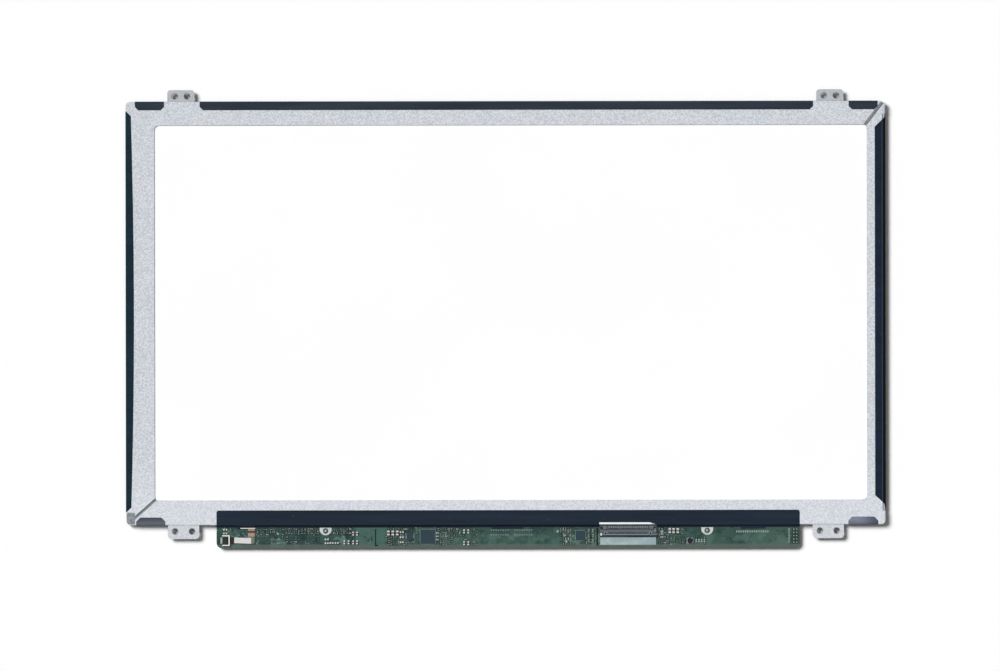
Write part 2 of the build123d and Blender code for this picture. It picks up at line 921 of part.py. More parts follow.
# Circuit board, with a hole in each ground pad
pad_places = [(along(share), cover_low - pad_down) for share in pad_shares]
with BuildPart() as circuit_board:
    with BuildSketch(Plane.XY.offset(board_front)) as board_plan:
        span(board_left, board_right, board_bottom, board_top)
        fillet(board_plan.vertices().group_by(Axis.Y)[0], board_corner_radius)
        with Locations(*pad_places):
            Circle(pad_hole_diameter / 2, mode=Mode.SUBTRACT)
    extrude(amount=board_thickness)

# Cover tape: flat on the steel, then down onto the board, raised over the tail
socket_x = along(socket_share)
tunnel_left = tail_right - tunnel_width
tunnel_right = tail_right + sheet_clearance
tunnel_level = tail_rear + tunnel_gap
tunnel_low = tail_slope_low - tunnel_gap
notch_left = socket_x - socket_width / 2 - cover_notch_gap
notch_right = socket_x + socket_width / 2 + cover_notch_gap
notch_top = body_bottom + cover_notch_reach
with BuildPart() as board_cover_tape:
    with BuildSketch(Plane.YZ.offset(board_left)):
        strip_section(
            tape_thickness,
            (cover_low, board_rear),
            (cover_slope_low, board_rear),
            (cover_slope_top, frame_rear),
            (cover_top, frame_rear),
        )
    extrude(amount=board_length)
    with BuildSketch(Plane.XY.offset(board_rear)):
        span(tunnel_left, tunnel_right, cover_low, cover_slope_top)
        outline(
            (notch_left, cover_low),
            (notch_right, cover_low),
            (notch_right, body_bottom),
            (notch_right - cover_notch_slant, notch_top),
            (notch_left, notch_top),
        )
    extrude(amount=tape_rear - board_rear, mode=Mode.SUBTRACT)
    with BuildSketch(Plane.YZ.offset(tunnel_left)):
        strip_section(
            tape_thickness,
            (tunnel_low - cover_board_bond, tunnel_level),
            (tunnel_low, tunnel_level),
            (cover_slope_top, frame_rear),
            (cover_top, frame_rear),
        )
    extrude(amount=tunnel_right - tunnel_left)
    ends = board_cover_tape.edges().filter_by(Axis.Z).group_by(Axis.Y)[-1]
    fillet(ends, cover_corner_radius)

# Video connector: base with contacts over it, under a slotted steel shell
socket_left = socket_x - socket_width / 2
socket_right = socket_x + socket_width / 2
socket_rear = board_top - socket_setback
socket_front = socket_rear - socket_depth
socket_roof = board_rear + socket_height - shell_thickness
base_rear = socket_rear - socket_base_setback
base_front = socket_front + socket_tongue_setback
base_top = board_rear + socket_base_height
with BuildPart() as video_connector_shell:
    with BuildSketch(Plane.XY.offset(board_rear)):
        span(socket_left, socket_right, socket_front, socket_rear)
    extrude(amount=socket_height)
    with BuildSketch(Plane.XY.offset(board_rear)):
        span(socket_left + shell_thickness, socket_right - shell_thickness, socket_front, socket_rear)
    extrude(amount=socket_height - shell_thickness, mode=Mode.SUBTRACT)
    with BuildSketch(Plane.XY.offset(socket_roof)):
        with Locations((socket_x, (socket_front + socket_rear) / 2)):
            with GridLocations(shell_slot_pitch, shell_slot_row_pitch, shell_slot_count, shell_slot_rows):
                Rectangle(shell_slot_length, shell_slot_width)
    extrude(amount=shell_thickness, mode=Mode.SUBTRACT)
    with BuildSketch(Plane.XY.offset(board_rear)):
        with Locations((socket_x, (socket_front + socket_rear) / 2)):
            with GridLocations(socket_width + shell_foot_width, shell_foot_pitch, 2, 2):
                Rectangle(shell_foot_width, shell_foot_length)
    extrude(amount=shell_thickness)

with BuildPart() as video_connector_housing:
    with BuildSketch(Plane.XY.offset(board_rear)):
        span(socket_left + shell_thickness, socket_right - shell_thickness, base_front, base_rear)
    extrude(amount=socket_base_height)
    with BuildSketch(Plane.XY.offset(base_top)):
        with Locations((socket_x, (base_front + base_rear) / 2)):
            with GridLocations(socket_width - 2 * shell_thickness - socket_end_block, 0, 2, 1):
                Rectangle(socket_end_block, base_rear - base_front)
    extrude(amount=socket_roof - base_top)

with BuildPart() as video_connector_contacts:
    first = socket_x - (socket_contact_count - 1) * socket_contact_pitch / 2
    for index in range(socket_contact_count):
        contact_left = first + index * socket_contact_pitch - socket_contact_width / 2
        with BuildSketch(Plane.YZ.offset(contact_left)):
            strip_section(
                socket_contact_thickness,
                (base_front + fit_clearance, base_top),
                (base_rear, base_top),
                (base_rear, board_rear),
                (base_rear + socket_tail_length, board_rear),
            )
    extrude(amount=socket_contact_width)

# Light bar connector: white housing with two arms that hold the flip latch
with BuildPart() as light_bar_connector_housing:
    with BuildSketch(Plane.XY.offset(board_rear)):
        span(plug_left, plug_right, plug_middle - plug_width / 2, plug_middle + plug_width / 2)
    extrude(amount=plug_floor)
    with BuildSketch(Plane.XY.offset(board_rear)):
        with Locations(((plug_left + plug_right) / 2, plug_middle)):
            with GridLocations(0, plug_width - plug_arm, 1, 2):
                Rectangle(plug_depth, plug_arm)
    extrude(amount=plug_height)
    with BuildSketch(Plane.XY.offset(plug_top - plug_roof_thickness)):
        span(
            plug_right - plug_roof_depth,
            plug_right,
            plug_middle - plug_width / 2,
            plug_middle + plug_width / 2,
        )
    extrude(amount=plug_roof_thickness)
    with BuildSketch(Plane.XZ.offset(-plug_middle)):
        with Locations((latch_pivot_x, latch_pivot_z)):
            Circle(latch_pin_radius + latch_pin_clearance)
    extrude(amount=latch_half + latch_pin_length + latch_clearance, both=True, mode=Mode.SUBTRACT)

with BuildPart() as light_bar_connector_latch:
    with BuildSketch(Plane.XZ.offset(-plug_middle)):
        span(plug_left + latch_clearance, latch_pivot_x, plug_top - latch_thickness, plug_top)
        with Locations((latch_pivot_x, latch_pivot_z)):
            Circle(latch_thickness / 2)
    extrude(amount=latch_half, both=True)
    free_edges = light_bar_connector_latch.edges().filter_by(Axis.Y).group_by(Axis.X)[0]
    chamfer(free_edges.sort_by(Axis.Z)[0], latch_edge_chamfer)
    with BuildSketch(Plane.XZ.offset(-plug_middle)):
        with Locations((latch_pivot_x, latch_pivot_z)):
            Circle(latch_pin_radius)
    extrude(amount=latch_half + latch_pin_length, both=True)

with BuildPart() as light_bar_connector_contacts:
    beam_level = tail_rear + plug_contact_gap
    riser_x = plug_left - plug_contact_gap
    first = plug_middle + (plug_contact_count - 1) * plug_contact_pitch / 2
    for index in range(plug_contact_count):
        contact_y = first - index * plug_contact_pitch + plug_contact_width / 2
        with BuildSketch(Plane.XZ.offset(-contact_y)):
            strip_section(
                plug_contact_thickness,
                (plug_left - plug_tail_length, board_rear),
                (riser_x, board_rear),
                (riser_x, beam_level),
                (latch_pivot_x, beam_level),
            )
    extrude(amount=plug_contact_width)

# Chips and the inductor
with BuildPart() as timing_chip:
    with BuildSketch(Plane.XY.offset(board_rear)):
        with Locations((along(timing_share), cover_low - timing_down)):
            Rectangle(timing_size, timing_size)
    extrude(amount=chip_height)
    chamfer(timing_chip.faces().sort_by(Axis.Z)[-1].edges(), chip_chamfer)

with BuildPart() as power_chip:
    with BuildSketch(Plane.XY.offset(board_rear)):
        with Locations((along(power_share), cover_low - power_down)):
            Rectangle(power_size, power_size)
    extrude(amount=chip_height)
    chamfer(power_chip.faces().sort_by(Axis.Z)[-1].edges(), chip_chamfer)

with BuildPart() as memory_chip:
    memory_place = (along(timing_share) + memory_offset, cover_low - memory_down)
    with BuildSketch(Plane.XY.offset(board_rear)):
        with Locations(memory_place):
            Rectangle(memory_width, memory_length)
    extrude(amount=chip_height)
    chamfer(memory_chip.faces().sort_by(Axis.Z)[-1].edges(), chip_chamfer)
    with BuildSketch(Plane.XY.offset(board_rear)):
        with Locations(memory_place):
            with GridLocations(memory_width + lead_length, lead_pitch, 2, leads_per_side):
                Rectangle(lead_length, lead_width)
    extrude(amount=lead_height)

with BuildPart() as power_inductor:
    with BuildSketch(Plane.XY.offset(board_rear)):
        with Locations((along(inductor_share), cover_low - inductor_down)):
            Rectangle(inductor_length, inductor_width)
    extrude(amount=inductor_height)
    chamfer(power_inductor.faces().sort_by(Axis.Z)[-1].edges(), chip_chamfer)

# Tinned pads: two round-ended ground pads and the landing in front of the video connector
with BuildPart() as ground_pads:
    with BuildSketch(Plane.XY.offset(board_rear)):
        for pad_x, pad_y in pad_places:
            with Locations((pad_x, pad_y + pad_hole_drop)):
                Circle(pad_width / 2)
            span(
                pad_x - pad_width,
                pad_x + pad_width,
                cover_low - fit_clearance,
                cover_top,
                mode=Mode.SUBTRACT,
            )
            with Locations((pad_x, pad_y)):
                Circle(pad_hole_diameter / 2, mode=Mode.SUBTRACT)
        span(
            socket_left + landing_gap,
            socket_right - landing_gap,
            board_bottom + landing_margin,
            socket_front - landing_gap,
        )
    extrude(amount=pad_thickness)

# Small parts
with BuildPart() as capacitors:
    with BuildSketch(Plane.XY.offset(board_rear)):
        with Locations(*places(capacitor_stations)):
            Rectangle(capacitor_length, capacitor_width)
    extrude(amount=capacitor_height)

with BuildPart() as bulk_capacitors:
    with BuildSketch(Plane.XY.offset(board_rear)):
        with Locations(*places(bulk_stations)):
            Rectangle(bulk_length, bulk_width)
    extrude(amount=bulk_height)

with BuildPart() as resistors:
    with BuildSketch(Plane.XY.offset(board_rear)):
        with Locations(*places(resistor_stations)):
            Rectangle(resistor_length, resistor_width)
    extrude(amount=resistor_height)

pieces = {
    "rear_frame_upper": rear_frame_upper,
    "rear_frame_lower": rear_frame_lower,
    "mould_frame": mould_frame,
    "front_polariser": front_polariser,
    "colour_filter_glass": colour_filter_glass,
    "tft_glass": tft_glass,
    "rear_polariser": rear_polariser,
    "rim_tape": rim_tape,
    "upper_prism_sheet": upper_prism_sheet,
    "lower_prism_sheet": lower_prism_sheet,
    "diffuser_sheet": diffuser_sheet,
    "light_guide_plate": light_guide_plate,
    "reflector_sheet": reflector_sheet,
    "light_bar_leds": light_bar_leds,
    "light_bar_flex": light_bar_flex,
    "flex_label": flex_label,
    "flex_stiffener": flex_stiffener,
    "edge_tape_left": edge_tape_left,
    "edge_tape_top": edge_tape_top,
    "edge_tape_right": edge_tape_right,
    "edge_tape_bottom_left": edge_tape_bottom_left,
    "edge_tape_bottom_right": edge_tape_bottom_right,
    "driver_films": driver_films,
    "driver_chips": driver_chips,
    "circuit_board": circuit_board,
    "board_cover_tape": board_cover_tape,
    "video_connector_shell": video_connector_shell,
    "video_connector_housing": video_connector_housing,
    "video_connector_contacts": video_connector_contacts,
    "light_bar_connector_housing": light_bar_connector_housing,
    "light_bar_connector_latch": light_bar_connector_latch,
    "light_bar_connector_contacts": light_bar_connector_contacts,
    "timing_chip": timing_chip,
    "power_chip": power_chip,
    "memory_chip": memory_chip,
    "power_inductor": power_inductor,
    "ground_pads": ground_pads,
    "capacitors": capacitors,
    "bulk_capacitors": bulk_capacitors,
    "resistors": resistors,
}

os.makedirs("parts", exist_ok=True)
for label, piece in pieces.items():
    piece.part.label = label
    export_step(piece.part, f"parts/{label}.step")
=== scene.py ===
import json
import math
import random

import bmesh
import bpy
from mathutils import Matrix, Vector


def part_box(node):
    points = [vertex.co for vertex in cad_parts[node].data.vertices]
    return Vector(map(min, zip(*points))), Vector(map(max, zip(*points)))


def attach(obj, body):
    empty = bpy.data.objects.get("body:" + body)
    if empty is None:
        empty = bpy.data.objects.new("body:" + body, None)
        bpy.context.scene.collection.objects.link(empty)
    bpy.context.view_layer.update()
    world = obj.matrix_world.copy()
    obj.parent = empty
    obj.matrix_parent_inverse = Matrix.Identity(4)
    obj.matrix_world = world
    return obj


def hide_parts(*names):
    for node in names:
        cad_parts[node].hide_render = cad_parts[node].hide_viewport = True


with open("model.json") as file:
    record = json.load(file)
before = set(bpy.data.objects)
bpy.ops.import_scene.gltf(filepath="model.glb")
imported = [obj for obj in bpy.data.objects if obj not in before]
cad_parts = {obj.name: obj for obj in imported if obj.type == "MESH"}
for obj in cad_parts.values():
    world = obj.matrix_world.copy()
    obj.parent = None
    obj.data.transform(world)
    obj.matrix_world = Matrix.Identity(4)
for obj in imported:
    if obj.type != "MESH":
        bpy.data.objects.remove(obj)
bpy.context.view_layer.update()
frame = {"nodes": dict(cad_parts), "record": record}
nodes = frame["nodes"]
rng = random.Random(15)
MM = 0.001


# Camera: straight down on the rear side, framed as in the photograph

def add_camera():
    lens, sensor = 300.0, 36.0
    picture_width = 0.473
    centre = Vector((-0.00267, -0.0079, 0.0036))
    turn = math.radians(-0.085)
    data = bpy.data.cameras.new("camera")
    data.lens = lens
    data.sensor_width = sensor
    data.sensor_fit = "HORIZONTAL"
    data.clip_end = 50.0
    camera = bpy.data.objects.new("camera", data)
    camera.location = centre + Vector((0, 0, picture_width * lens / sensor))
    camera.rotation_euler = (0, 0, turn)
    bpy.context.scene.collection.objects.link(camera)
    bpy.context.scene.camera = camera


# Node helpers

def new(tree, kind, sockets=None, **attributes):
    """Adds a node. A socket given another node's output is linked, and any other is set."""
    node = tree.nodes.new(kind)
    for name, value in attributes.items():
        setattr(node, name, value)
    for name, value in (sockets or {}).items():
        if isinstance(value, bpy.types.NodeSocket):
            tree.links.new(value, node.inputs[name])
        else:
            node.inputs[name].default_value = value
    return node


def math_node(tree, operation, a, b=0.0, clamp=False):
    node = new(tree, "ShaderNodeMath", {0: a, 1: b}, operation=operation, use_clamp=clamp)
    return node.outputs[0]


def times(tree, a, b):
    return math_node(tree, "MULTIPLY", a, b)


def mix(tree, factor, a, b):
    node = new(tree, "ShaderNodeMix", {0: factor, 6: a, 7: b}, data_type="RGBA")
    return node.outputs[2]


def band(tree, value, low, high, to_low=0.0, to_high=1.0):
    """Smooth step of a value from one range to another."""
    sockets = {
        "Value": value, "From Min": low, "From Max": high, "To Min": to_low, "To Max": to_high,
    }
    node = new(tree, "ShaderNodeMapRange", sockets, interpolation_type="SMOOTHSTEP")
    return node.outputs["Result"]


def within(tree, value, low, high, soft):
    """One between two values and zero outside them, with soft ends."""
    above = band(tree, value, low - soft, low + soft)
    below = band(tree, value, high + soft, high - soft)
    return times(tree, above, below)


def noise(tree, where, scale, detail=2.0, roughness=0.5):
    sockets = {"Vector": where, "Scale": scale, "Detail": detail, "Roughness": roughness}
    return new(tree, "ShaderNodeTexNoise", sockets).outputs[0]


def cells(tree, where, scale, output="Color", **attributes):
    node = new(tree, "ShaderNodeTexVoronoi", {"Vector": where, "Scale": scale}, **attributes)
    return node.outputs[output]


def stripes(tree, where, scale, direction):
    """Soft bands across one axis, about 0.314 divided by the scale apart."""
    sockets = {"Vector": where, "Scale": scale}
    return new(tree, "ShaderNodeTexWave", sockets, bands_direction=direction).outputs["Fac"]


def measure(tree, operation, *vectors):
    """One number from vectors, such as a length or a dot product."""
    node = new(tree, "ShaderNodeVectorMath", dict(enumerate(vectors)), operation=operation)
    return node.outputs["Value"]


def channel(tree, colour, index):
    return new(tree, "ShaderNodeSeparateColor", {0: colour}).outputs[index]


def stretched(tree, where, x, y, z):
    return new(tree, "ShaderNodeMapping", {"Vector": where, "Scale": (x, y, z)}).outputs[0]


def axes(tree, vector):
    return new(tree, "ShaderNodeSeparateXYZ", {0: vector}).outputs


def facing(tree):
    """The three parts of the surface's own direction."""
    return axes(tree, new(tree, "ShaderNodeNewGeometry").outputs["Normal"])


def rgb(red, green, blue):
    """Linear colour of a screen colour in 0 to 255."""
    def linear(value):
        value /= 255.0
        return value / 12.92 if value <= 0.04045 else ((value + 0.055) / 1.055) ** 2.4
    return (linear(red), linear(green), linear(blue), 1.0)


def scaled(colour, factor):
    return (colour[0] * factor, colour[1] * factor, colour[2] * factor, 1.0)


def material(name, roughness, metallic=0.0, specular=0.5):
    made = bpy.data.materials.new(name)
    made.use_nodes = True
    tree = made.node_tree
    shader = tree.nodes["Principled BSDF"]
    shader.inputs["Roughness"].default_value = roughness
    shader.inputs["Metallic"].default_value = metallic
    shader.inputs["Specular IOR Level"].default_value = specular
    where = new(tree, "ShaderNodeTexCoord").outputs["Object"]
    return made, tree, shader, where


def set_bump(tree, shader, height, distance, strength=0.5):
    sockets = {"Height": height, "Distance": distance, "Strength": strength}
    bump = new(tree, "ShaderNodeBump", sockets)
    tree.links.new(bump.outputs[0], shader.inputs["Normal"])


def set_colour(tree, shader, colour):
    tree.links.new(colour, shader.inputs["Base Color"])


def set_roughness(tree, shader, value):
    tree.links.new(value, shader.inputs["Roughness"])


# Materials

def ear_rims(tree, place):
    """One at the edge of each hole in the ears and zero a little way from it."""
    def by_row(bottom, top):
        return band(tree, place[1], -1 * MM, 1 * MM, bottom * MM, top * MM)
    middle = by_row(152.5, 153.5)
    half_pitch = by_row(4.0, 2.925)
    row = by_row(100.4, 105.5)
    rim_outside, rim_inside = 1.75 * MM, 1.4 * MM
    across = math_node(tree, "SUBTRACT", math_node(tree, "ABSOLUTE", place[0]), middle)
    across = math_node(tree, "SUBTRACT", math_node(tree, "ABSOLUTE", across), half_pitch)
    along = math_node(tree, "SUBTRACT", math_node(tree, "ABSOLUTE", place[1]), row)
    offset = new(tree, "ShaderNodeCombineXYZ", {0: across, 1: along}).outputs[0]
    reach = measure(tree, "LENGTH", offset)
    return band(tree, reach, rim_outside, rim_inside)


def steel_material(name, colour):
    """Galvanised sheet with small spangles, with painted shade where it is stepped down or folded
    away.
    """
    made, tree, shader, where = material(name, 0.45, metallic=0.8)
    spangle = channel(tree, cells(tree, where, 2100.0), 0)
    grain = noise(tree, where, 3200.0, 2.0, 0.6)
    cloud = noise(tree, where, 60.0, 4.0, 0.6)
    speck = math_node(tree, "ADD", times(tree, spangle, 0.5), times(tree, grain, 0.5))
    base = mix(tree, band(tree, speck, 0.25, 0.75), scaled(colour, 0.76), scaled(colour, 1.22))
    cool = (colour[0] * 0.96, colour[1] * 0.985, colour[2] * 1.0, 1.0)
    warm = (colour[0] * 1.02, colour[1] * 1.01, colour[2] * 0.99, 1.0)
    tint = mix(tree, band(tree, cloud, 0.35, 0.65), cool, warm)
    sheet = mix(tree, 0.3, base, tint)
    place = axes(tree, where)
    height = place[2]
    # The lower leg is lighter and more even than the others
    lower_from, lower_to = -60 * MM, -90 * MM
    lighter = mix(tree, band(tree, speck, 0.25, 0.75), scaled(colour, 0.94), scaled(colour, 1.2))
    sheet = mix(tree, band(tree, place[1], lower_from, lower_to), sheet, lighter)
    normal = facing(tree)
    level = band(tree, normal[2], 0.9, 0.97)
    # The corners that are stepped down under the other frame are painted a darker, duller grey, as
    # painted shade in the recess
    lap_low, lap_high = 3.1 * MM, 3.36 * MM
    lapped = times(tree, within(tree, height, lap_low, lap_high, 0.03 * MM), level)
    patch = noise(tree, where, 900.0, 3.0, 0.6)
    dull = mix(tree, band(tree, patch, 0.3, 0.7), rgb(104, 110, 114), rgb(148, 155, 158))
    # Each open seam gets painted shade, darkest towards the sheet that stands over it
    for line, start, end, west, east in (
        ((-0.664, 0.748, 0.0), 45.6, 46.9, -175.4, -160.0),
        ((0.791, -0.612, 0.0), 78.2, 79.3, 165.0, 185.0),
    ):
        across = measure(tree, "DOT_PRODUCT", where, line)
        shade = band(tree, across, start * MM, end * MM, 0.0, 0.85)
        shade = times(tree, shade, within(tree, place[0], west * MM, east * MM, 0.2 * MM))
        dull = mix(tree, shade, dull, rgb(58, 61, 72))
    sheet = mix(tree, times(tree, lapped, 0.95), sheet, dull)
    # The ears are painted greyer, as shade for their lower level, those at the top most of all,
    # with painted shade in dark rims round their holes
    ear_above, ear_top = 2.85 * MM, 2.75 * MM
    ear = times(tree, band(tree, height, ear_above, ear_top), level)
    ear = times(tree, ear, band(tree, place[1], -50 * MM, 50 * MM, 0.15, 0.55))
    sheet = mix(tree, ear, sheet, mix(tree, grain, rgb(136, 138, 142), rgb(186, 188, 192)))
    sheet = mix(tree, times(tree, ear_rims(tree, place), 0.75), sheet, rgb(72, 74, 80))
    # Undersides get painted shade. The fold down the right side is painted dark, a painted
    # reflection of dark surroundings, apart from a painted highlight line on it
    sheet = mix(tree, band(tree, normal[2], -0.5, -0.8, 0.0, 0.85), sheet, rgb(84, 86, 88))
    folded = times(tree, band(tree, normal[0], 0.3, 0.4), band(tree, normal[2], 0.7, 0.8))
    painted_highlight_line = within(tree, place[0], 178.6 * MM, 179.2 * MM, 0.2 * MM)
    slope = mix(tree, painted_highlight_line, rgb(52, 54, 60), rgb(196, 200, 204))
    sheet = mix(tree, times(tree, folded, 0.9), sheet, slope)
    set_colour(tree, shader, sheet)
    tree.links.new(band(tree, lapped, 0.0, 1.0, 0.8, 0.2), shader.inputs["Metallic"])
    set_roughness(tree, shader, band(tree, grain, 0.25, 0.75, 0.38, 0.54))
    set_bump(tree, shader, speck, 0.00004, 0.35)
    return made


def tape_material(name, colour, far=None, axis=0, start=0.0, end=1.0, folds=False):
    """Black polyester tape: satin, with slow streaks, a faint wave and a few specks of dust.

    Its colour may drift to another along an axis. A folded tape has a painted highlight along its
    crease and painted shade on the slope beyond it.
    """
    made, tree, shader, where = material(name, 0.45, specular=0.09)
    streak = noise(tree, stretched(tree, where, 18.0, 260.0, 260.0), 1.0, 3.0, 0.6)
    fine = noise(tree, where, 1500.0, 2.0)
    dust = band(tree, noise(tree, where, 700.0, 1.0), 0.74, 0.8)
    base = mix(tree, band(tree, streak, 0.3, 0.7), scaled(colour, 0.8), scaled(colour, 1.2))
    place = axes(tree, where)
    if far:
        drift = band(tree, place[axis], start, end)
        other = mix(tree, band(tree, streak, 0.3, 0.7), scaled(far, 0.85), scaled(far, 1.15))
        base = mix(tree, drift, base, other)
    if folds:
        crease_from, crease_to = 178.05 * MM, 178.35 * MM
        slope_from, slope_to = 178.45 * MM, 178.65 * MM
        # Painted highlight along the crease, and painted shade on the slope beyond it
        crease = within(tree, place[0], crease_from, crease_to, 0.15 * MM)
        base = mix(tree, times(tree, crease, 0.7), base, rgb(78, 86, 98))
        beyond = band(tree, place[0], slope_from, slope_to)
        base = mix(tree, beyond, base, rgb(3, 4, 8))
    set_colour(tree, shader, mix(tree, times(tree, dust, 0.1), base, (0.25, 0.27, 0.29, 1.0)))
    set_roughness(tree, shader, band(tree, streak, 0.2, 0.8, 0.36, 0.54))
    wave = math_node(tree, "ADD", times(tree, streak, 0.8), times(tree, fine, 0.2))
    set_bump(tree, shader, wave, 0.00003, 0.4)
    return made


def plastic_material(name, colour, roughness=0.55, specular=0.4, spread=0.12):
    """Moulded plastic with a fine spark-eroded grain."""
    made, tree, shader, where = material(name, roughness, specular=specular)
    grain = noise(tree, where, 3500.0, 2.0, 0.6)
    cloud = noise(tree, where, 220.0, 2.0)
    darker, lighter = scaled(colour, 1 - spread), scaled(colour, 1 + spread)
    set_colour(tree, shader, mix(tree, cloud, darker, lighter))
    set_roughness(tree, shader, band(tree, grain, 0.2, 0.8, roughness - 0.08, roughness + 0.08))
    set_bump(tree, shader, grain, 0.00002, 0.4)
    return made


def sheet_material(name, colour, roughness=0.5):
    """White optical film: nearly even, with a faint cloud and a very fine tooth."""
    made, tree, shader, where = material(name, roughness, specular=0.3)
    cloud = noise(tree, where, 12.0, 3.0, 0.5)
    tooth = noise(tree, where, 5000.0, 1.0)
    set_colour(tree, shader, mix(tree, band(tree, cloud, 0.3, 0.7), scaled(colour, 0.99), colour))
    set_roughness(tree, shader, band(tree, tooth, 0.2, 0.8, roughness - 0.05, roughness + 0.05))
    set_bump(tree, shader, tooth, 0.00001, 0.3)
    return made


def polariser_material(name):
    """Dark film with an anti-glare face, and the black border round the picture area."""
    made, tree, shader, where = material(name, 0.32, specular=0.45)
    place = axes(tree, where)
    picture_middle = 2.85 * MM
    side_from, side_to = 171.9 * MM, 172.1 * MM
    end_from, end_to = 96.6 * MM, 96.8 * MM
    across = math_node(tree, "ABSOLUTE", place[0])
    along = math_node(tree, "ABSOLUTE", math_node(tree, "SUBTRACT", place[1], picture_middle))
    side = band(tree, across, side_from, side_to)
    end = band(tree, along, end_from, end_to)
    border = math_node(tree, "MAXIMUM", side, end)
    cloud = noise(tree, where, 9.0, 2.0)
    tooth = noise(tree, where, 9000.0, 1.0)
    picture = mix(tree, cloud, (0.011, 0.012, 0.014, 1.0), (0.015, 0.016, 0.019, 1.0))
    set_colour(tree, shader, mix(tree, border, picture, (0.004, 0.004, 0.005, 1.0)))
    set_roughness(tree, shader, band(tree, tooth, 0.2, 0.8, 0.28, 0.4))
    set_bump(tree, shader, tooth, 0.000008, 0.3)
    return made


def glass_material(name):
    """Thin display glass, seen only at its edges."""
    made, tree, shader, where = material(name, 0.12)
    chips = noise(tree, where, 2500.0, 3.0)
    shader.inputs["Transmission Weight"].default_value = 0.7
    shader.inputs["IOR"].default_value = 1.51
    set_colour(tree, shader, mix(tree, chips, (0.45, 0.62, 0.58, 1.0), (0.62, 0.76, 0.73, 1.0)))
    set_roughness(tree, shader, band(tree, chips, 0.3, 0.7, 0.06, 0.25))
    return made


def film_material(name, colour, copper, scale):
    """Polyimide film over copper tracks that run up and down it."""
    made, tree, shader, where = material(name, 0.32, specular=0.3)
    track = band(tree, stripes(tree, where, scale, "X"), 0.35, 0.6)
    cloud = noise(tree, where, 500.0, 2.0)
    film = mix(tree, cloud, scaled(colour, 0.85), scaled(colour, 1.15))
    set_colour(tree, shader, mix(tree, times(tree, track, 0.6), film, copper))
    set_roughness(tree, shader, band(tree, cloud, 0.2, 0.8, 0.26, 0.4))
    set_bump(tree, shader, track, 0.00003, 0.4)
    return made


def tail_material(name):
    """The light bar's flexible strip: pale, with a brown band, then olive, dark in the plug."""
    made, tree, shader, where = material(name, 0.34, specular=0.25)
    low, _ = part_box("light_bar_flex")
    place = axes(tree, where)
    band_foot, band_top = -101.2 * MM, -100.1 * MM
    pale_until, olive_from = -102.2 * MM, -103.2 * MM
    plug_mouth, plug_inside = low.x + 49.6 * MM, low.x + 49.2 * MM
    cloud = noise(tree, where, 500.0, 2.0)
    track = band(tree, stripes(tree, where, 420.0, "X"), 0.4, 0.6)
    pale = mix(tree, cloud, rgb(158, 134, 118), rgb(178, 156, 140))
    olive = mix(tree, cloud, rgb(92, 100, 86), rgb(118, 124, 106))
    brown = mix(tree, cloud, rgb(78, 46, 38), rgb(104, 66, 56))
    film = mix(tree, band(tree, place[1], pale_until, olive_from), pale, olive)
    film = mix(tree, times(tree, track, 0.2), film, rgb(142, 118, 98))
    film = mix(tree, within(tree, place[1], band_foot, band_top, 0.2 * MM), film, brown)
    film = mix(tree, band(tree, place[0], plug_mouth, plug_inside), film, rgb(36, 26, 22))
    set_colour(tree, shader, film)
    set_roughness(tree, shader, band(tree, cloud, 0.2, 0.8, 0.28, 0.42))
    set_bump(tree, shader, track, 0.00003, 0.4)
    return made


def paper_material(name, colour):
    """Plain coated paper with a faint fibre and slightly grey patches."""
    made, tree, shader, where = material(name, 0.6, specular=0.2)
    fibre = noise(tree, stretched(tree, where, 900.0, 2600.0, 900.0), 1.0, 4.0, 0.65)
    cloud = noise(tree, where, 350.0, 2.0)
    base = mix(tree, band(tree, fibre, 0.3, 0.7), scaled(colour, 0.93), colour)
    patches = band(tree, cloud, 0.5, 0.75, 0.0, 0.25)
    set_colour(tree, shader, mix(tree, patches, base, scaled(colour, 0.8)))
    set_bump(tree, shader, fibre, 0.00001, 0.4)
    return made


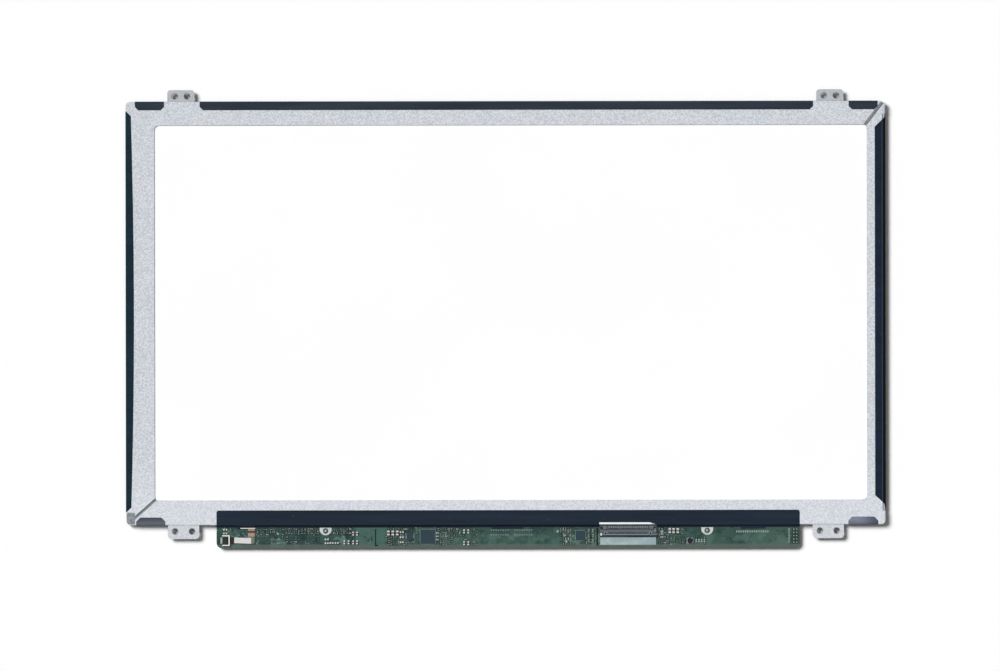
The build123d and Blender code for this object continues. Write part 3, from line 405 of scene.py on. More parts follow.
def board_material(name):
    """Solder mask over copper areas, tracks and via holes, paler along the bare lower edge."""
    low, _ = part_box("circuit_board")
    made, tree, shader, where = material(name, 0.36, specular=0.22)
    place = axes(tree, where)
    deep, mid, light = rgb(20, 44, 44), rgb(42, 69, 62), rgb(60, 88, 78)
    areas = channel(tree, cells(tree, where, 210.0, distance="CHEBYCHEV"), 1)
    cloud = noise(tree, where, 60.0, 3.0)
    ground = mix(tree, band(tree, areas, 0.15, 0.85), mid, light)
    ground = mix(tree, band(tree, cloud, 0.35, 0.65, 0.0, 0.5), ground, deep)
    rise = band(tree, place[1], low.y + 4.0 * MM, low.y + 8.5 * MM)
    ground = mix(tree, times(tree, rise, 0.35), ground, deep)
    # The busy stretches, under most of the parts, are darker and bluer
    soft = 2.0 * MM
    busy = within(tree, place[0], low.x, -72.0 * MM, soft)
    for west, east in ((-55.0, -28.0), (26.0, 86.0)):
        stretch = within(tree, place[0], west * MM, east * MM, soft)
        busy = math_node(tree, "MAXIMUM", busy, stretch)

    def by_busy(more, least):
        return math_node(tree, "ADD", times(tree, busy, more), least)

    ground = mix(tree, times(tree, busy, 0.4), ground, rgb(22, 46, 50))
    # One stretch with few parts is a paler green
    bare_west, bare_east = -71.0 * MM, -56.0 * MM
    bare = within(tree, place[0], bare_west, bare_east, 1.5 * MM)
    ground = mix(tree, times(tree, bare, 0.45), ground, rgb(78, 114, 104))
    # Paler pours, most of them low down, and thin dark gaps between the areas
    pour = band(tree, channel(tree, cells(tree, where, 250.0, distance="MANHATTAN"), 2), 0.66, 0.7)
    pour = times(tree, pour, band(tree, place[1], low.y + 7.5 * MM, low.y + 5.0 * MM, 0.3, 1.0))
    ground = mix(tree, times(tree, pour, by_busy(0.3, 0.25)), ground, rgb(104, 134, 124))
    sizes = {
        "Vector": where, "Scale": 500.0,
        "Mortar Size": 0.1, "Brick Width": 1.7, "Row Height": 0.75,
    }
    bricks = new(tree, "ShaderNodeTexBrick", sizes, offset=0.37, squash=0.6, squash_frequency=3)
    gap = bricks.outputs["Fac"]
    gap = times(tree, gap, band(tree, noise(tree, where, 260.0, 1.0), 0.42, 0.5))
    gap = times(tree, gap, by_busy(0.65, 0.1))
    ground = mix(tree, gap, ground, rgb(14, 32, 34))
    # Tracks: narrow bands along two directions, each only in its own patches
    patch = cells(tree, where, 330.0, distance="MANHATTAN")
    across = band(tree, stripes(tree, where, 640.0, "Y"), 0.55, 0.75)
    across = times(tree, across, band(tree, channel(tree, patch, 0), 0.5, 0.55))
    upward = band(tree, stripes(tree, where, 520.0, "X"), 0.55, 0.75)
    upward = times(tree, upward, band(tree, channel(tree, patch, 2), 0.62, 0.67))
    tracks = math_node(tree, "MAXIMUM", across, upward)
    ground = mix(tree, times(tree, tracks, 0.45), ground, rgb(82, 112, 102))
    # Via holes: a pale ring round a dark spot, most of them in the busy stretches
    spot = cells(tree, where, 850.0, output="Distance")
    crowd = band(tree, noise(tree, where, 160.0, 2.0), 0.44, 0.52)
    crowd = times(tree, crowd, by_busy(0.8, 0.2))
    ring = times(tree, band(tree, spot, 0.26, 0.2), crowd)
    hole = times(tree, band(tree, spot, 0.15, 0.09), crowd)
    ground = mix(tree, times(tree, ring, 0.7), ground, rgb(150, 172, 158))
    ground = mix(tree, times(tree, hole, 0.9), ground, rgb(10, 24, 24))
    # The lower edge has no copper under its mask
    edge = band(tree, place[1], low.y + 2.3 * MM, low.y + 1.3 * MM)
    ground = mix(tree, times(tree, edge, 0.8), ground, rgb(82, 98, 91))
    # Bare laminate shows on the cut sides
    flat = band(tree, math_node(tree, "ABSOLUTE", facing(tree)[2]), 0.4, 0.6)
    weave = noise(tree, where, 1800.0, 2.0)
    laminate = mix(tree, weave, rgb(116, 120, 84), rgb(150, 150, 108))
    set_colour(tree, shader, mix(tree, flat, laminate, ground))
    set_roughness(tree, shader, band(tree, cloud, 0.2, 0.8, 0.3, 0.44))
    set_bump(tree, shader, math_node(tree, "MAXIMUM", tracks, ring), 0.00003, 0.5)
    return made


def metal_material(name, colour, roughness=0.35, spread=0.15):
    """Plated or tinned metal with a soft mottle."""
    made, tree, shader, where = material(name, roughness, metallic=0.9)
    mottle = noise(tree, where, 1100.0, 3.0, 0.6)
    cloud = noise(tree, where, 240.0, 2.0)
    darker, lighter = scaled(colour, 1 - spread), scaled(colour, 1 + spread)
    set_colour(tree, shader, mix(tree, band(tree, mottle, 0.25, 0.75), darker, lighter))
    set_roughness(tree, shader, band(tree, cloud, 0.2, 0.8, roughness - 0.08, roughness + 0.1))
    set_bump(tree, shader, mottle, 0.00003, 0.35)
    return made


def pad_material(name):
    """Tinned copper: bright on the ground pads, duller and bluish on the connector's landing."""
    made, tree, shader, where = material(name, 0.4, metallic=0.85)
    low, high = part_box("video_connector_shell")
    place = axes(tree, where)
    mottle = noise(tree, where, 900.0, 3.0, 0.6)
    cloud = noise(tree, where, 130.0, 2.0)
    bright = mix(tree, band(tree, mottle, 0.25, 0.75), rgb(180, 188, 186), rgb(212, 218, 214))
    dull = mix(tree, band(tree, cloud, 0.35, 0.65), rgb(152, 171, 176), rgb(182, 199, 194))
    dull = mix(tree, band(tree, mottle, 0.4, 0.7, 0.0, 0.3), dull, rgb(136, 154, 160))
    landing = within(tree, place[0], low.x, high.x, 0.5 * MM)
    set_colour(tree, shader, mix(tree, landing, bright, dull))
    set_roughness(tree, shader, band(tree, cloud, 0.2, 0.8, 0.34, 0.5))
    set_bump(tree, shader, mottle, 0.00003, 0.35)
    return made


def shell_material(name):
    """Pressed connector shell, along its length a rib with a painted highlight, a crease with a
    brighter painted highlight and a mouth darkened by painted shadow.
    """
    made, tree, shader, where = material(name, 0.4, metallic=0.85)
    _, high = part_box("video_connector_shell")
    depth = math_node(tree, "SUBTRACT", high.y, axes(tree, where)[1])
    mottle = noise(tree, where, 1000.0, 3.0, 0.6)
    cloud = noise(tree, where, 160.0, 2.0)
    metal = mix(tree, band(tree, mottle, 0.25, 0.75), rgb(58, 70, 74), rgb(84, 96, 101))
    rib = within(tree, depth, 2.1 * MM, 3.1 * MM, 0.15 * MM)
    crease = within(tree, depth, 3.95 * MM, 4.3 * MM, 0.1 * MM)
    mouth = band(tree, depth, 4.5 * MM, 4.7 * MM, 0.0, 0.8)
    # Painted highlights on the rib and the crease, and painted shadow in the mouth
    metal = mix(tree, rib, metal, rgb(100, 104, 112))
    metal = mix(tree, crease, metal, rgb(130, 138, 142))
    metal = mix(tree, mouth, metal, rgb(52, 60, 66))
    set_colour(tree, shader, metal)
    set_roughness(tree, shader, band(tree, cloud, 0.2, 0.8, 0.32, 0.5))
    set_bump(tree, shader, mottle, 0.00003, 0.35)
    return made


def plug_material(name):
    """White plug housing, dark on the inner sides of its arms."""
    made, tree, shader, where = material(name, 0.5, specular=0.3)
    low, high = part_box("light_bar_connector_housing")
    place = axes(tree, where)
    grain = noise(tree, where, 3500.0, 2.0, 0.6)
    white = mix(tree, grain, (0.8, 0.81, 0.78, 1.0), (0.9, 0.9, 0.87, 1.0))
    arm = 0.46 * MM
    inner = within(tree, place[1], low.y + arm, high.y - arm, 0.06 * MM)
    inner = times(tree, inner, band(tree, place[0], high.x - arm, high.x - arm - 0.1 * MM))
    set_colour(tree, shader, mix(tree, times(tree, inner, 0.92), white, rgb(30, 38, 38)))
    set_roughness(tree, shader, band(tree, grain, 0.2, 0.8, 0.42, 0.58))
    set_bump(tree, shader, grain, 0.00002, 0.4)
    return made


def ceramic_material(name, colour, roughness=0.4):
    """Fired ceramic body of a small part, each a little lighter or darker."""
    made, tree, shader, where = material(name, roughness, specular=0.3)
    grain = noise(tree, where, 4200.0, 2.0)
    each = channel(tree, cells(tree, where, 520.0), 0)
    base = mix(tree, each, scaled(colour, 0.8), scaled(colour, 1.2))
    specks = band(tree, grain, 0.4, 0.7, 0.0, 0.2)
    set_colour(tree, shader, mix(tree, specks, base, scaled(colour, 0.6)))
    set_roughness(tree, shader, band(tree, grain, 0.2, 0.8, roughness - 0.07, roughness + 0.1))
    set_bump(tree, shader, grain, 0.00001, 0.3)
    return made


palette = {
    "frame_steel": steel_material("frame_steel", rgb(208, 212, 218)),
    "tape_left": tape_material("tape_left", rgb(22, 40, 50)),
    "tape_top": tape_material("tape_top", rgb(44, 52, 62)),
    "tape_right": tape_material("tape_right", rgb(22, 34, 50), folds=True),
    # The two bottom tapes are the same black tape painted lighter, a painted sheen that fades
    # along an axis
    "tape_bottom_left": tape_material(
        "tape_bottom_left", rgb(96, 100, 112), rgb(66, 72, 86), 1, -96.5 * MM, -93.5 * MM
    ),
    "tape_bottom_right": tape_material(
        "tape_bottom_right", rgb(116, 122, 138), rgb(74, 80, 100), 0, 166 * MM, 176 * MM
    ),
    "tape_cover": tape_material("tape_cover", rgb(31, 41, 53)),
    "mould_plastic": plastic_material("mould_plastic", (0.012, 0.012, 0.013, 1.0)),
    "polariser": polariser_material("polariser"),
    "cell_glass": glass_material("cell_glass"),
    "rim_adhesive": plastic_material("rim_adhesive", (0.015, 0.015, 0.016, 1.0), 0.7, 0.2),
    "optical_film": sheet_material("optical_film", (0.86, 0.88, 0.89, 1.0), 0.4),
    "light_guide": sheet_material("light_guide", (0.82, 0.88, 0.88, 1.0), 0.2),
    "reflector": sheet_material("reflector", (1.0, 1.0, 1.0, 1.0), 0.55),
    "led_package": ceramic_material("led_package", rgb(240, 225, 150)),
    "flex_film": tail_material("flex_film"),
    "label_paper": paper_material("label_paper", (0.7, 0.69, 0.69, 1.0)),
    "stiffener": plastic_material("stiffener", rgb(30, 22, 20), 0.4, 0.3),
    "driver_film": film_material("driver_film", rgb(150, 92, 38), rgb(184, 122, 70), 900.0),
    "driver_silicon": plastic_material("driver_silicon", rgb(66, 66, 76), 0.2, 0.6),
    "board_green": board_material("board_green"),
    "shell_metal": shell_material("shell_metal"),
    "shell_edge": metal_material("shell_edge", rgb(134, 144, 146), 0.35),
    "dull_contact": metal_material("dull_contact", rgb(96, 102, 106), 0.4),
    "plug_housing": plug_material("plug_housing"),
    "pin_grey": plastic_material("pin_grey", rgb(178, 182, 178), 0.5, 0.3),
    "pad_ring": metal_material("pad_ring", rgb(84, 92, 92), 0.45),
    "white_plastic": plastic_material("white_plastic", (0.84, 0.84, 0.8, 1.0), 0.5, 0.3, 0.04),
    "latch_plastic": plastic_material("latch_plastic", rgb(40, 46, 46), 0.5, 0.2),
    "contact_metal": metal_material("contact_metal", rgb(196, 176, 128), 0.3),
    "chip_black": plastic_material("chip_black", rgb(45, 61, 70), 0.5, 0.2),
    "inductor_core": plastic_material("inductor_core", rgb(30, 33, 42), 0.6, 0.2),
    "tinned_pad": pad_material("tinned_pad"),
    "capacitor_ceramic": ceramic_material("capacitor_ceramic", rgb(112, 112, 102)),
    "resistor_ceramic": ceramic_material("resistor_ceramic", rgb(28, 34, 38)),
    "solder": metal_material("solder", rgb(216, 218, 216), 0.32, 0.12),
    "bright_solder": metal_material("bright_solder", rgb(238, 240, 236), 0.3, 0.06),
    "dull_solder": metal_material("dull_solder", rgb(150, 162, 156), 0.42, 0.25),
    "pale_end": metal_material("pale_end", rgb(190, 198, 194), 0.4, 0.2),
    "grey_end": metal_material("grey_end", rgb(126, 146, 140), 0.45, 0.3),
    # White strips, one of which stands in as a painted highlight on the bare steel's bent edge
    "white_strip_and_highlight": paper_material("white_strip_and_highlight", (0.9, 0.91, 0.92, 1.0)),
    # Dark solder mask, also laid down as painted shade in the gaps round the ground pads' plugs,
    # along the socket's mouth and round the small parts
    "dark_mask_and_shade": plastic_material("dark_mask_and_shade", rgb(10, 26, 26), 0.5, 0.15),
}

# Which finish each solid of the frame takes, where it isn't the one named as its slot
finish = {
    "edge_tape_left": "tape_left",
    "edge_tape_top": "tape_top",
    "edge_tape_right": "tape_right",
    "edge_tape_bottom_left": "tape_bottom_left",
    "edge_tape_bottom_right": "tape_bottom_right",
    "board_cover_tape": "tape_cover",
    "light_bar_connector_contacts": "bright_solder",
    "light_bar_connector_housing": "plug_housing",
    "video_connector_contacts": "dull_contact",
}
for row in frame["record"]["subparts"]:
    name = row["node"]
    mesh = nodes[name].data
    mesh.materials.clear()
    mesh.materials.append(palette[finish.get(name, row["material_slot"])])


# Mesh helpers

def islands(node):
    """Lowest and highest corners of each separate solid in a node."""
    build = bmesh.new()
    build.from_mesh(nodes[node].data)
    bmesh.ops.remove_doubles(build, verts=build.verts, dist=1e-6)
    left = set(build.verts)
    found = []
    while left:
        stack = [left.pop()]
        group = list(stack)
        while stack:
            for edge in stack.pop().link_edges:
                for vert in edge.verts:
                    if vert in left:
                        left.discard(vert)
                        stack.append(vert)
                        group.append(vert)
        low = Vector([min(v.co[i] for v in group) for i in range(3)])
        high = Vector([max(v.co[i] for v in group) for i in range(3)])
        found.append((low, high))
    build.free()
    return sorted(found, key=lambda pair: tuple(round(c, 6) for c in pair[0]))


class Piece:
    """A mesh piece built from bevelled blocks and discs, with a few materials."""

    def __init__(self, name, slot, *finishes):
        self.name = name
        self.slot = slot
        self.build = bmesh.new()
        self.finishes = finishes or (slot,)

    def block(self, low, high, finish=0, bevel=0.0, taper=0.0):
        """Box between two corners; its rear face may be drawn in by a taper."""
        low, high = Vector(low), Vector(high)
        middle = (low + high) / 2
        place = Matrix.Translation(middle) @ Matrix.Diagonal((*(high - low), 1.0))
        verts = bmesh.ops.create_cube(self.build, size=1.0, matrix=place)["verts"]
        for vert in verts:
            if taper and vert.co.z > middle.z:
                for axis in (0, 1):
                    vert.co[axis] += taper if vert.co[axis] < middle[axis] else -taper
        for face in {face for vert in verts for face in vert.link_faces}:
            face.material_index = finish
        if bevel:
            edges = list({edge for vert in verts for edge in vert.link_edges})
            bmesh.ops.bevel(
                self.build, geom=edges, offset=bevel, segments=2, profile=0.6,
                affect="EDGES", material=-1,
            )

    def plate(self, x, y, z, width, depth, height, finish=0, bevel=0.0, taper=0.0):
        """Box by its middle in plan, the level it stands on and its size, in millimetres."""
        low = (Vector((x - width / 2, y - depth / 2, z))) * MM
        high = (Vector((x + width / 2, y + depth / 2, z + height))) * MM
        self.block(low, high, finish, bevel * MM, taper * MM)

    def disc(self, x, y, z, radius, height, finish=0, hole=0.0, sides=24):
        """Flat round pad with a softened rim, with a hole where one is given, in millimetres."""
        profile = [(radius, 0.0), (radius, height * 0.6), (radius - height * 0.4, height)]
        if hole:
            profile += [(hole, height), (hole, 0.0)]
        rings = []
        for reach, level in profile:
            ring = []
            for step in range(sides):
                turn = 2 * math.pi * step / sides
                point = Vector((x + reach * math.cos(turn), y + reach * math.sin(turn), z + level))
                ring.append(self.build.verts.new(point * MM))
            rings.append(ring)
        pairs = list(zip(rings, rings[1:]))
        if hole:
            pairs.append((rings[-1], rings[0]))
        else:
            self.build.faces.new(rings[-1]).material_index = finish
            self.build.faces.new(list(reversed(rings[0]))).material_index = finish
        for lower, upper in pairs:
            for step in range(sides):
                after = (step + 1) % sides
                face = self.build.faces.new((lower[step], lower[after], upper[after], upper[step]))
                face.material_index = finish

    def done(self, body, *stands_for):
        """Makes the object, which rides on a body and may stand for nodes of the frame."""
        bmesh.ops.recalc_face_normals(self.build, faces=self.build.faces)
        mesh = bpy.data.meshes.new(self.name)
        self.build.to_mesh(mesh)
        self.build.free()
        for name in self.finishes:
            mesh.materials.append(palette[name])
        made = bpy.data.objects.new(self.name, mesh)
        bpy.context.scene.collection.objects.link(made)
        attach(made, body)
        if stands_for:
            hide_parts(*stands_for)


board_low, board_high = (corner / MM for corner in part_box("circuit_board"))
board_z = board_high.z
# Where the cover tape ends on the board, in millimetres
tape_edge = -98.65


# Small parts: bodies with tinned ends, in place of the plain solids

def add_two_ended(node, body_finish, cap_share, lid_finish=None):
    """Chip parts of one kind, each a body between two tinned ends with solder at its feet."""
    finishes = ["solder", body_finish, "grey_end"] + ([lid_finish] if lid_finish else [])
    piece = Piece(node + "_detail", lid_finish or body_finish, *finishes)
    skin = 0.02 * MM
    reach = 0.22 * MM
    # Parts along this stretch of the board have dull ends
    dull_from, dull_to = 30.0, 43.0
    for low, high in islands(node):
        size = high - low
        axis = 0 if size.x >= size.y else 1
        cap = size[axis] * cap_share
        end_finish = 2 if dull_from * MM < low.x < dull_to * MM else 0
        body_low, body_high = low.copy(), high.copy()
        body_low[axis] += cap * 0.8
        body_high[axis] -= cap * 0.8
        body_low[1 - axis] += skin
        body_high[1 - axis] -= skin
        body_high.z -= skin
        piece.block(body_low, body_high, 1, 0.03 * MM)
        if lid_finish:
            inset = Vector((0.06, 0.06, 0)) * MM
            lid_low = Vector((body_low.x, body_low.y, body_high.z - skin / 2)) + inset
            lid_high = Vector((body_high.x, body_high.y, body_high.z + skin * 0.7)) - inset
            piece.block(lid_low, lid_high, 3)
        for end in (0, 1):
            cap_low, cap_high = low.copy(), high.copy()
            foot_low, foot_high = low.copy(), high.copy()
            if end:
                cap_low[axis] = high[axis] - cap
                foot_low[axis], foot_high[axis] = high[axis] - reach / 2, high[axis] + reach
            else:
                cap_high[axis] = low[axis] + cap
                foot_low[axis], foot_high[axis] = low[axis] - reach, low[axis] + reach / 2
            foot_high.z = low.z + 0.4 * size.z
            piece.block(cap_low, cap_high, end_finish, 0.05 * MM)
            piece.block(foot_low, foot_high, end_finish, 0.04 * MM, 0.1 * MM)
    piece.done("panel", node)


add_two_ended("capacitors", "capacitor_ceramic", 0.27)
add_two_ended("bulk_capacitors", "capacitor_ceramic", 0.25)
add_two_ended("resistors", "white_plastic", 0.24, "resistor_ceramic")


# Chips: fine leads round the large ones, a small one with bent leads, and the inductor

def add_leads(piece, node, count, width, length, height):
    """Row of short leads out of each side of a square chip."""
    low, high = (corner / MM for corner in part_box(node))
    size = high.x - low.x
    middle = (low + high) / 2
    pitch = size / (count + 1)
    for index in range(count):
        offset = (index - (count - 1) / 2) * pitch
        reach = size / 2 + length / 2 - 0.05
        for side in (-1, 1):
            x, y = middle.x + offset, middle.y + side * reach
            piece.plate(x, y, board_z, width, length, height, 0, 0.02)
            x, y = middle.x + side * reach, middle.y + offset
            piece.plate(x, y, board_z, length, width, height, 0, 0.02)


def add_chips():
    leads = Piece("chip_leads", "tinned_pad", "dull_solder", "chip_black")
    add_leads(leads, "timing_chip", 18, 0.18, 0.45, 0.12)
    add_leads(leads, "power_chip", 9, 0.24, 0.4, 0.1)
    for node in ("timing_chip", "power_chip"):
        low, high = (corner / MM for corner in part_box(node))
        leads.disc(low.x + 0.75, high.y - 0.75, high.z, 0.28, 0.012, 1)
    leads.done("panel")
    low, high = (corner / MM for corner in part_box("memory_chip"))
    middle = (low + high) / 2
    lead, lead_count, lead_pitch, lead_width, lead_thickness = 0.8, 4, 0.65, 0.3, 0.14
    chip = Piece("memory_chip_detail", "chip_black", "chip_black", "dull_solder")
    body = Vector((high.x - low.x - 2 * lead, high.y - low.y, high.z - low.z))
    chip.plate(middle.x, middle.y, low.z + 0.1, body.x, body.y, body.z - 0.1, 0, 0.08, 0.08)
    for side in (-1, 1):
        shoulder = middle.x + side * (body.x / 2 + 0.12)
        bend, toe = shoulder + side * 0.2, shoulder + side * 0.43
        for index in range(lead_count):
            y = middle.y + (index - (lead_count - 1) / 2) * lead_pitch
            chip.plate(shoulder, y, low.z + 0.3, 0.36, lead_width, lead_thickness, 1, 0.03)
            chip.plate(bend, y, low.z, lead_thickness, lead_width, 0.42, 1, 0.03)
            chip.plate(toe, y, low.z, 0.46, lead_width, lead_thickness, 1, 0.03)
    chip.disc(middle.x - 0.9, high.y - 0.8, high.z - 0.01, 0.22, 0.01, 0)
    chip.done("panel", "memory_chip")
    low, high = (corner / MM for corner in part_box("power_inductor"))
    middle = (low + high) / 2
    size = high - low
    coil = Piece("power_inductor_detail", "inductor_core", "inductor_core", "solder")
    coil.plate(middle.x, middle.y, low.z, size.x - 0.3, size.y, size.z, 0, 0.12)
    for side in (-1, 1):
        end, foot = middle.x + side * (size.x / 2 - 0.2), middle.x + side * (size.x / 2 - 0.5)
        coil.plate(end, middle.y, low.z, 0.4, size.y - 0.3, size.z * 0.55, 1, 0.05)
        coil.plate(foot, middle.y, low.z, 0.9, size.y + 0.35, 0.12, 1, 0.04)
    coil.done("panel", "power_inductor")


add_chips()


# Tiny parts and pads in crowds, kept clear of everything else on the board

taken = []
for busy in (
    "capacitors", "bulk_capacitors", "resistors",
    "timing_chip", "power_chip", "memory_chip", "power_inductor",
    "ground_pads", "video_connector_shell", "light_bar_connector_housing",
    "flex_label", "flex_stiffener",
):
    for low, high in islands(busy):
        taken.append((low.x / MM, low.y / MM, high.x / MM, high.y / MM))
low, high = (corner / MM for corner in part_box("light_bar_connector_contacts"))
taken.append((low.x, low.y, high.x, high.y))
round_the_tail = (-127.0, -108.4, -118.4, -98.0)
taken.append(round_the_tail)


def is_free(x, y, half_x, half_y, gap):
    """Whether a part fits on the bare board there, clear of the edges and of what is taken."""
    end_gap, foot_gap, tape_gap = 0.6, 0.5, 0.1
    if not board_low.y + foot_gap < y - half_y or not y + half_y < tape_edge - tape_gap:
        return False
    if not board_low.x + end_gap < x - half_x or not x + half_x < board_high.x - end_gap:
        return False
    for x0, y0, x1, y1 in taken:
        in_columns = x0 - gap < x + half_x and x - half_x < x1 + gap
        if in_columns and y0 - gap < y + half_y and y - half_y < y1 + gap:
            return False
    return True


def add_crowd(piece, x0, x1, y0, y1, pitch_x, pitch_y, share, upright):
    """Tiny two-ended parts on a loose grid, some left out, each with bright or dull ends.

    Each stands on a dark patch, partly an opening of the mask and partly painted shade round the
    part. The openings differ a little in height, so that no two that overlap share a level.
    """
    length, width, height, cap = 1.0, 0.5, 0.35, 0.28
    gap, dark_share, bright_share = 0.15, 0.6, 0.16
    for row_index in range(int((y1 - y0) / pitch_y) + 1):
        for column in range(int((x1 - x0) / pitch_x) + 1):
            x = x0 + column * pitch_x + rng.uniform(-0.1, 0.1)
            y = y1 - row_index * pitch_y + rng.uniform(-0.08, 0.08)
            turned = rng.random() < upright
            kind = rng.random()
            bright = rng.random()
            half_x, half_y = (width / 2, length / 2) if turned else (length / 2, width / 2)
            if kind > share or not is_free(x, y, half_x, half_y, gap):
                continue
            taken.append((x - half_x, y - half_y, x + half_x, y + half_y))
            body = 2 if kind < share * dark_share else 3
            end = 0 if bright < bright_share else 1
            reach = length / 2 - cap / 2
            opening = 0.012 + 0.001 * (len(taken) % 8)
            piece.plate(x, y, board_z, 2 * half_x + 0.5, 2 * half_y + 0.4, opening, 4)
            if turned:
                piece.plate(x, y, board_z, width - 0.04, length - cap, height - 0.02, body)
                for side in (-1, 1):
                    piece.plate(x, y + side * reach, board_z, width, cap, height, end, 0.03)
            else:
                piece.plate(x, y, board_z, length - cap, width - 0.04, height - 0.02, body)
                for side in (-1, 1):
                    piece.plate(x + side * reach, y, board_z, cap, width, height, end, 0.03)


def add_crowds():
    crowd = Piece(
        "board_small_parts", "resistor_ceramic",
        "pale_end", "grey_end", "resistor_ceramic", "capacitor_ceramic", "dark_mask_and_shade",
    )
    # Each region: its sides, the pitches, the share of places filled and the share turned upright
    for region in (
        (-117.4, -105.0, -102.4, -99.6, 1.5, 1.15, 0.6, 0.2),
        (-104.0, -88.6, -101.4, -99.3, 1.5, 1.0, 0.8, 0.3),
        (-112.0, -88.0, -106.6, -103.0, 2.1, 1.2, 0.4, 0.2),
        (-81.2, -72.0, -101.4, -99.3, 1.5, 1.0, 0.75, 0.3),
        (-70.0, -63.2, -106.6, -103.4, 1.6, 1.2, 0.45, 0.2),
        (-50.6, -46.6, -107.2, -99.4, 1.15, 0.9, 0.95, 0.5),
        (-56.6, -48.0, -107.2, -99.4, 1.15, 0.9, 0.9, 0.5),
        (-33.2, -28.4, -107.2, -99.2, 1.2, 0.95, 0.8, 0.6),
        (-27.0, -19.0, -106.4, -99.4, 1.3, 1.0, 0.5, 0.4),
        (-16.6, -13.2, -107.0, -99.6, 1.4, 1.2, 0.5, 0.3),
        (26.0, 32.2, -106.8, -99.4, 1.15, 1.2, 0.85, 0.8),
        (38.2, 42.4, -106.8, -99.4, 1.15, 1.1, 0.85, 0.7),
        (72.6, 76.6, -107.0, -99.4, 1.3, 0.95, 0.9, 0.4),
        (76.8, 84.0, -107.0, -102.8, 1.4, 1.0, 0.7, 0.3),
        (90.2, 96.6, -107.0, -103.6, 1.3, 1.3, 0.6, 0.9),
    ):
        add_crowd(crowd, *region)
    crowd.done("panel")


add_crowds()


# Bare pads, test points, strips and slits on the board

def add_board_trim():
    pads = Piece(
        "board_pads", "tinned_pad",
        "solder", "dull_solder", "dark_mask_and_shade", "pin_grey", "pad_ring",
    )
    thin, soft = 0.03, 0.01
    # Two rows of pads near the middle, with a gap in each
    for row_y in (-99.95, -102.25):
        for index in range(18):
            x = -6.9 + index * 1.12
            if index in (8, 9):
                continue
            pads.plate(x, row_y, board_z, 0.62, 0.34, thin, 1, soft)
    # One row towards the right, and four test points
    for index in range(15):
        pads.plate(109.2 + index * 1.05, -100.75, board_z, 0.6, 0.95, thin, 1, soft)
    for x, y, radius in (
        (24.5, -100.6, 0.62), (27.8, -102.6, 0.6), (28.6, -105.4, 0.62), (-107.9, -101.6, 0.5),
    ):
        pads.disc(x, y, board_z, radius, 0.04, 1)
    # At the right end, a block of raised pads in dark openings and a column of flat ones
    for column in range(2):
        for index in range(5):
            x, y = 136.2 + column * 1.35, -99.7 - index * 1.55
            pads.plate(x, y, board_z, 1.25, 1.3, thin, 2, soft)
            pads.plate(x, y, board_z + thin, 0.62, 0.62, 0.12, 1, 0.06)
    for index in range(9):
        pads.plate(134.0, -99.6 - index * 0.78, board_z, 0.75, 0.42, thin, 1, soft)
    # Rings and plugs of the round ground pads; the wide pad is the connector's landing
    widest_round = 8
    for low, high in islands("ground_pads"):
        width = (high.x - low.x) / MM
        if width > widest_round:
            continue
        middle = (low + high) / 2 / MM
        y = tape_edge - 1.6
        pads.disc(middle.x, y, board_z + 0.05, 1.3, 0.03, 4, 0.82, 32)
        # A dark disc under each plug is painted shade in the gap round it
        pads.disc(middle.x, y, board_low.z + 0.02, 0.78, 0.05, 2)
        pads.disc(middle.x, y, board_low.z + 0.07, 0.58, 0.5, 3)
    pads.done("panel")
    strips = Piece("board_strips", "black_tape", "tape_cover", "dark_mask_and_shade")
    strips.plate(0.8, -99.0, board_z, 14.8, 0.7, 0.06, 0, 0.01)
    strips.plate(117.0, -99.05, board_z, 11.8, 0.8, 0.06, 0, 0.01)
    strips.plate(-61.7, -103.5, board_z, 0.55, 8.0, 0.03, 1, 0.01)
    strips.plate(-61.1, -107.1, board_z, 1.1, 0.6, 0.03, 1, 0.01)
    strips.plate(43.2, -103.2, board_z, 0.7, 8.6, 0.03, 1, 0.01)
    strips.done("panel")
    white = Piece("white_strips", "label_paper", "white_strip_and_highlight")
    white.plate(-122.1, -98.95, 2.84, 7.0, 0.3, 0.03, 0, 0.01)
    # This strip above the socket is a painted highlight on the bent edge of the bare steel
    white.plate(56.6, -96.85, 3.55, 24.4, 0.8, 0.05, 0, 0.015)
    white.done("panel")


add_board_trim()


# Video connector: ribs, solder tabs and rivets on the shell

def add_socket_trim():
    low, high = (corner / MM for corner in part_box("video_connector_shell"))
    middle = (low + high) / 2
    top = high.z
    rivets, rivet_y, eyes, eye_y = 10.9, -98.75, 10.6, -101.6
    trim = Piece("video_connector_trim", "shell_metal", "shell_edge", "solder", "dark_mask_and_shade")
    trim.plate(middle.x, -102.12, top, 19.4, 0.3, 0.06, 0, 0.03)
    for index in range(18):
        x = middle.x + (index - 8.5) * 1.06
        trim.plate(x, high.y - 0.72, top, 0.5, 0.75, 0.04, 0, 0.01)
    for side in (-1, 1):
        trim.disc(middle.x + side * rivets, rivet_y, top, 0.72, 0.06, 0, 0.34)
        trim.disc(middle.x + side * rivets, rivet_y, top, 0.34, 0.02, 2)
        trim.disc(middle.x + side * eyes, eye_y, top, 0.85, 0.06, 0, 0.5)
        trim.disc(middle.x + side * eyes, eye_y, top, 0.5, 0.02, 2)
        trim.plate(middle.x + side * 12.55, -99.0, top, 0.9, 0.9, 0.03, 2, 0.02)
    trim.plate(low.x + 1.15, -102.0, top, 0.75, 1.2, 0.06, 1, 0.02)
    trim.plate(high.x - 1.15, -100.0, top, 0.4, 1.6, 0.06, 0, 0.02)
    # A dark line along the lower side of the shell, on its right half, is painted shadow at its
    # mouth
    trim.plate(middle.x + 6.0, low.y + 0.3, top, 12.0, 0.3, 0.02, 2, 0.005)
    trim.done("panel")


add_socket_trim()


# Floor, light and background

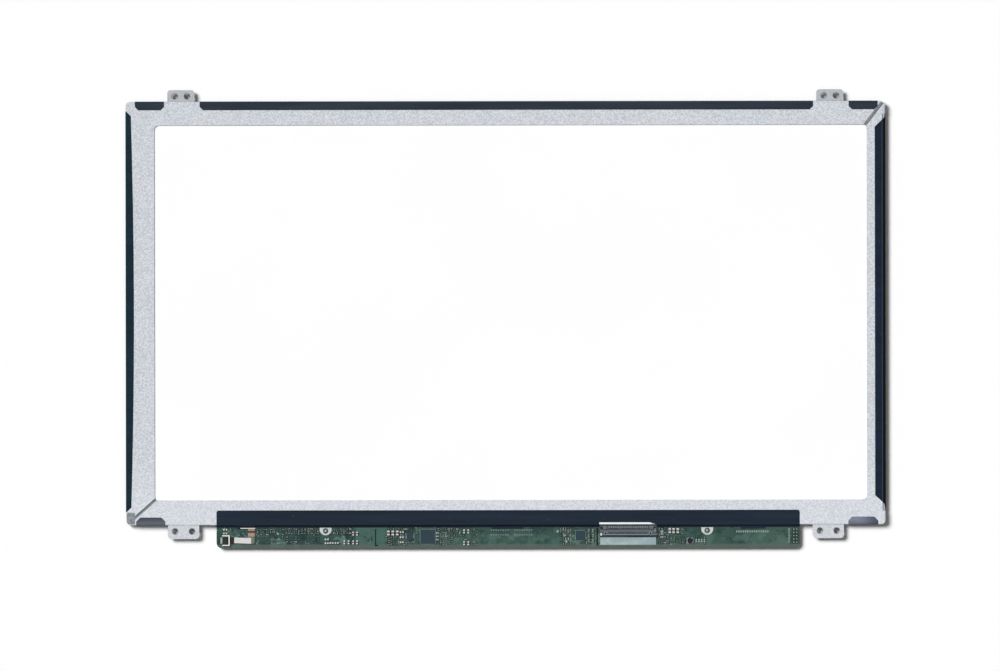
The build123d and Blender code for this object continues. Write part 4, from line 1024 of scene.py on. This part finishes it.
def add_floor():
    made, tree, shader, where = material("floor", 1.0, specular=0.0)
    soft = noise(tree, where, 3.0, 1.0)
    set_colour(tree, shader, mix(tree, soft, (0.995, 0.995, 0.995, 1.0), (1.0, 1.0, 1.0, 1.0)))
    mesh = bpy.data.meshes.new("floor")
    reach = 6.0
    level = -0.0001
    signs = ((-1, -1), (1, -1), (1, 1), (-1, 1))
    corners = [(x * reach, y * reach, level) for x, y in signs]
    mesh.from_pydata(corners, [], [(0, 1, 2, 3)])
    mesh.materials.append(made)
    floor = bpy.data.objects.new("floor", mesh)
    bpy.context.scene.collection.objects.link(floor)


def add_light():
    data = bpy.data.lights.new("key", "SUN")
    travel = Vector((0.76, -0.56, -1.0)).normalized()
    sun_share, sky_share, sky_level = 0.84, 0.12, 0.04
    data.energy = sun_share * math.pi / -travel.z
    data.angle = math.radians(26.0)
    lamp = bpy.data.objects.new("key", data)
    lamp.rotation_euler = travel.to_track_quat("-Z", "Y").to_euler()
    lamp.visible_glossy = False
    bpy.context.scene.collection.objects.link(lamp)
    world = bpy.data.worlds.new("world")
    bpy.context.scene.world = world
    world.use_nodes = True
    tree = world.node_tree
    tree.nodes.clear()
    path = new(tree, "ShaderNodeLightPath")
    seen = math_node(tree, "ADD", path.outputs["Is Camera Ray"], path.outputs["Is Glossy Ray"])
    seen = math_node(tree, "ADD", seen, path.outputs["Is Transmission Ray"], clamp=True)
    # Only what the camera sees, straight or mirrored, is plain white. Light that comes off a
    # matt face keeps the sky's level
    direct = math_node(tree, "SUBTRACT", 1.0, path.outputs["Diffuse Depth"], clamp=True)
    seen = times(tree, seen, direct)
    height = axes(tree, new(tree, "ShaderNodeTexCoord").outputs["Generated"])[2]
    # Light from the fourth power of the height spreads to a third of its strength on a level face
    lobe = math_node(tree, "POWER", math_node(tree, "MAXIMUM", height, 0.0), 4.0)
    strength = math_node(tree, "ADD", times(tree, lobe, 3 * sky_share), sky_level)
    white = (1, 1, 1, 1)
    sky = new(tree, "ShaderNodeBackground", {"Color": white, "Strength": strength}).outputs[0]
    plain = new(tree, "ShaderNodeBackground", {"Color": white, "Strength": 1.0}).outputs[0]
    both = new(tree, "ShaderNodeMixShader", {0: seen, 1: sky, 2: plain}).outputs[0]
    new(tree, "ShaderNodeOutputWorld", {"Surface": both})


add_camera()
add_floor()
add_light()
bpy.context.scene.view_settings.view_transform = "Standard"
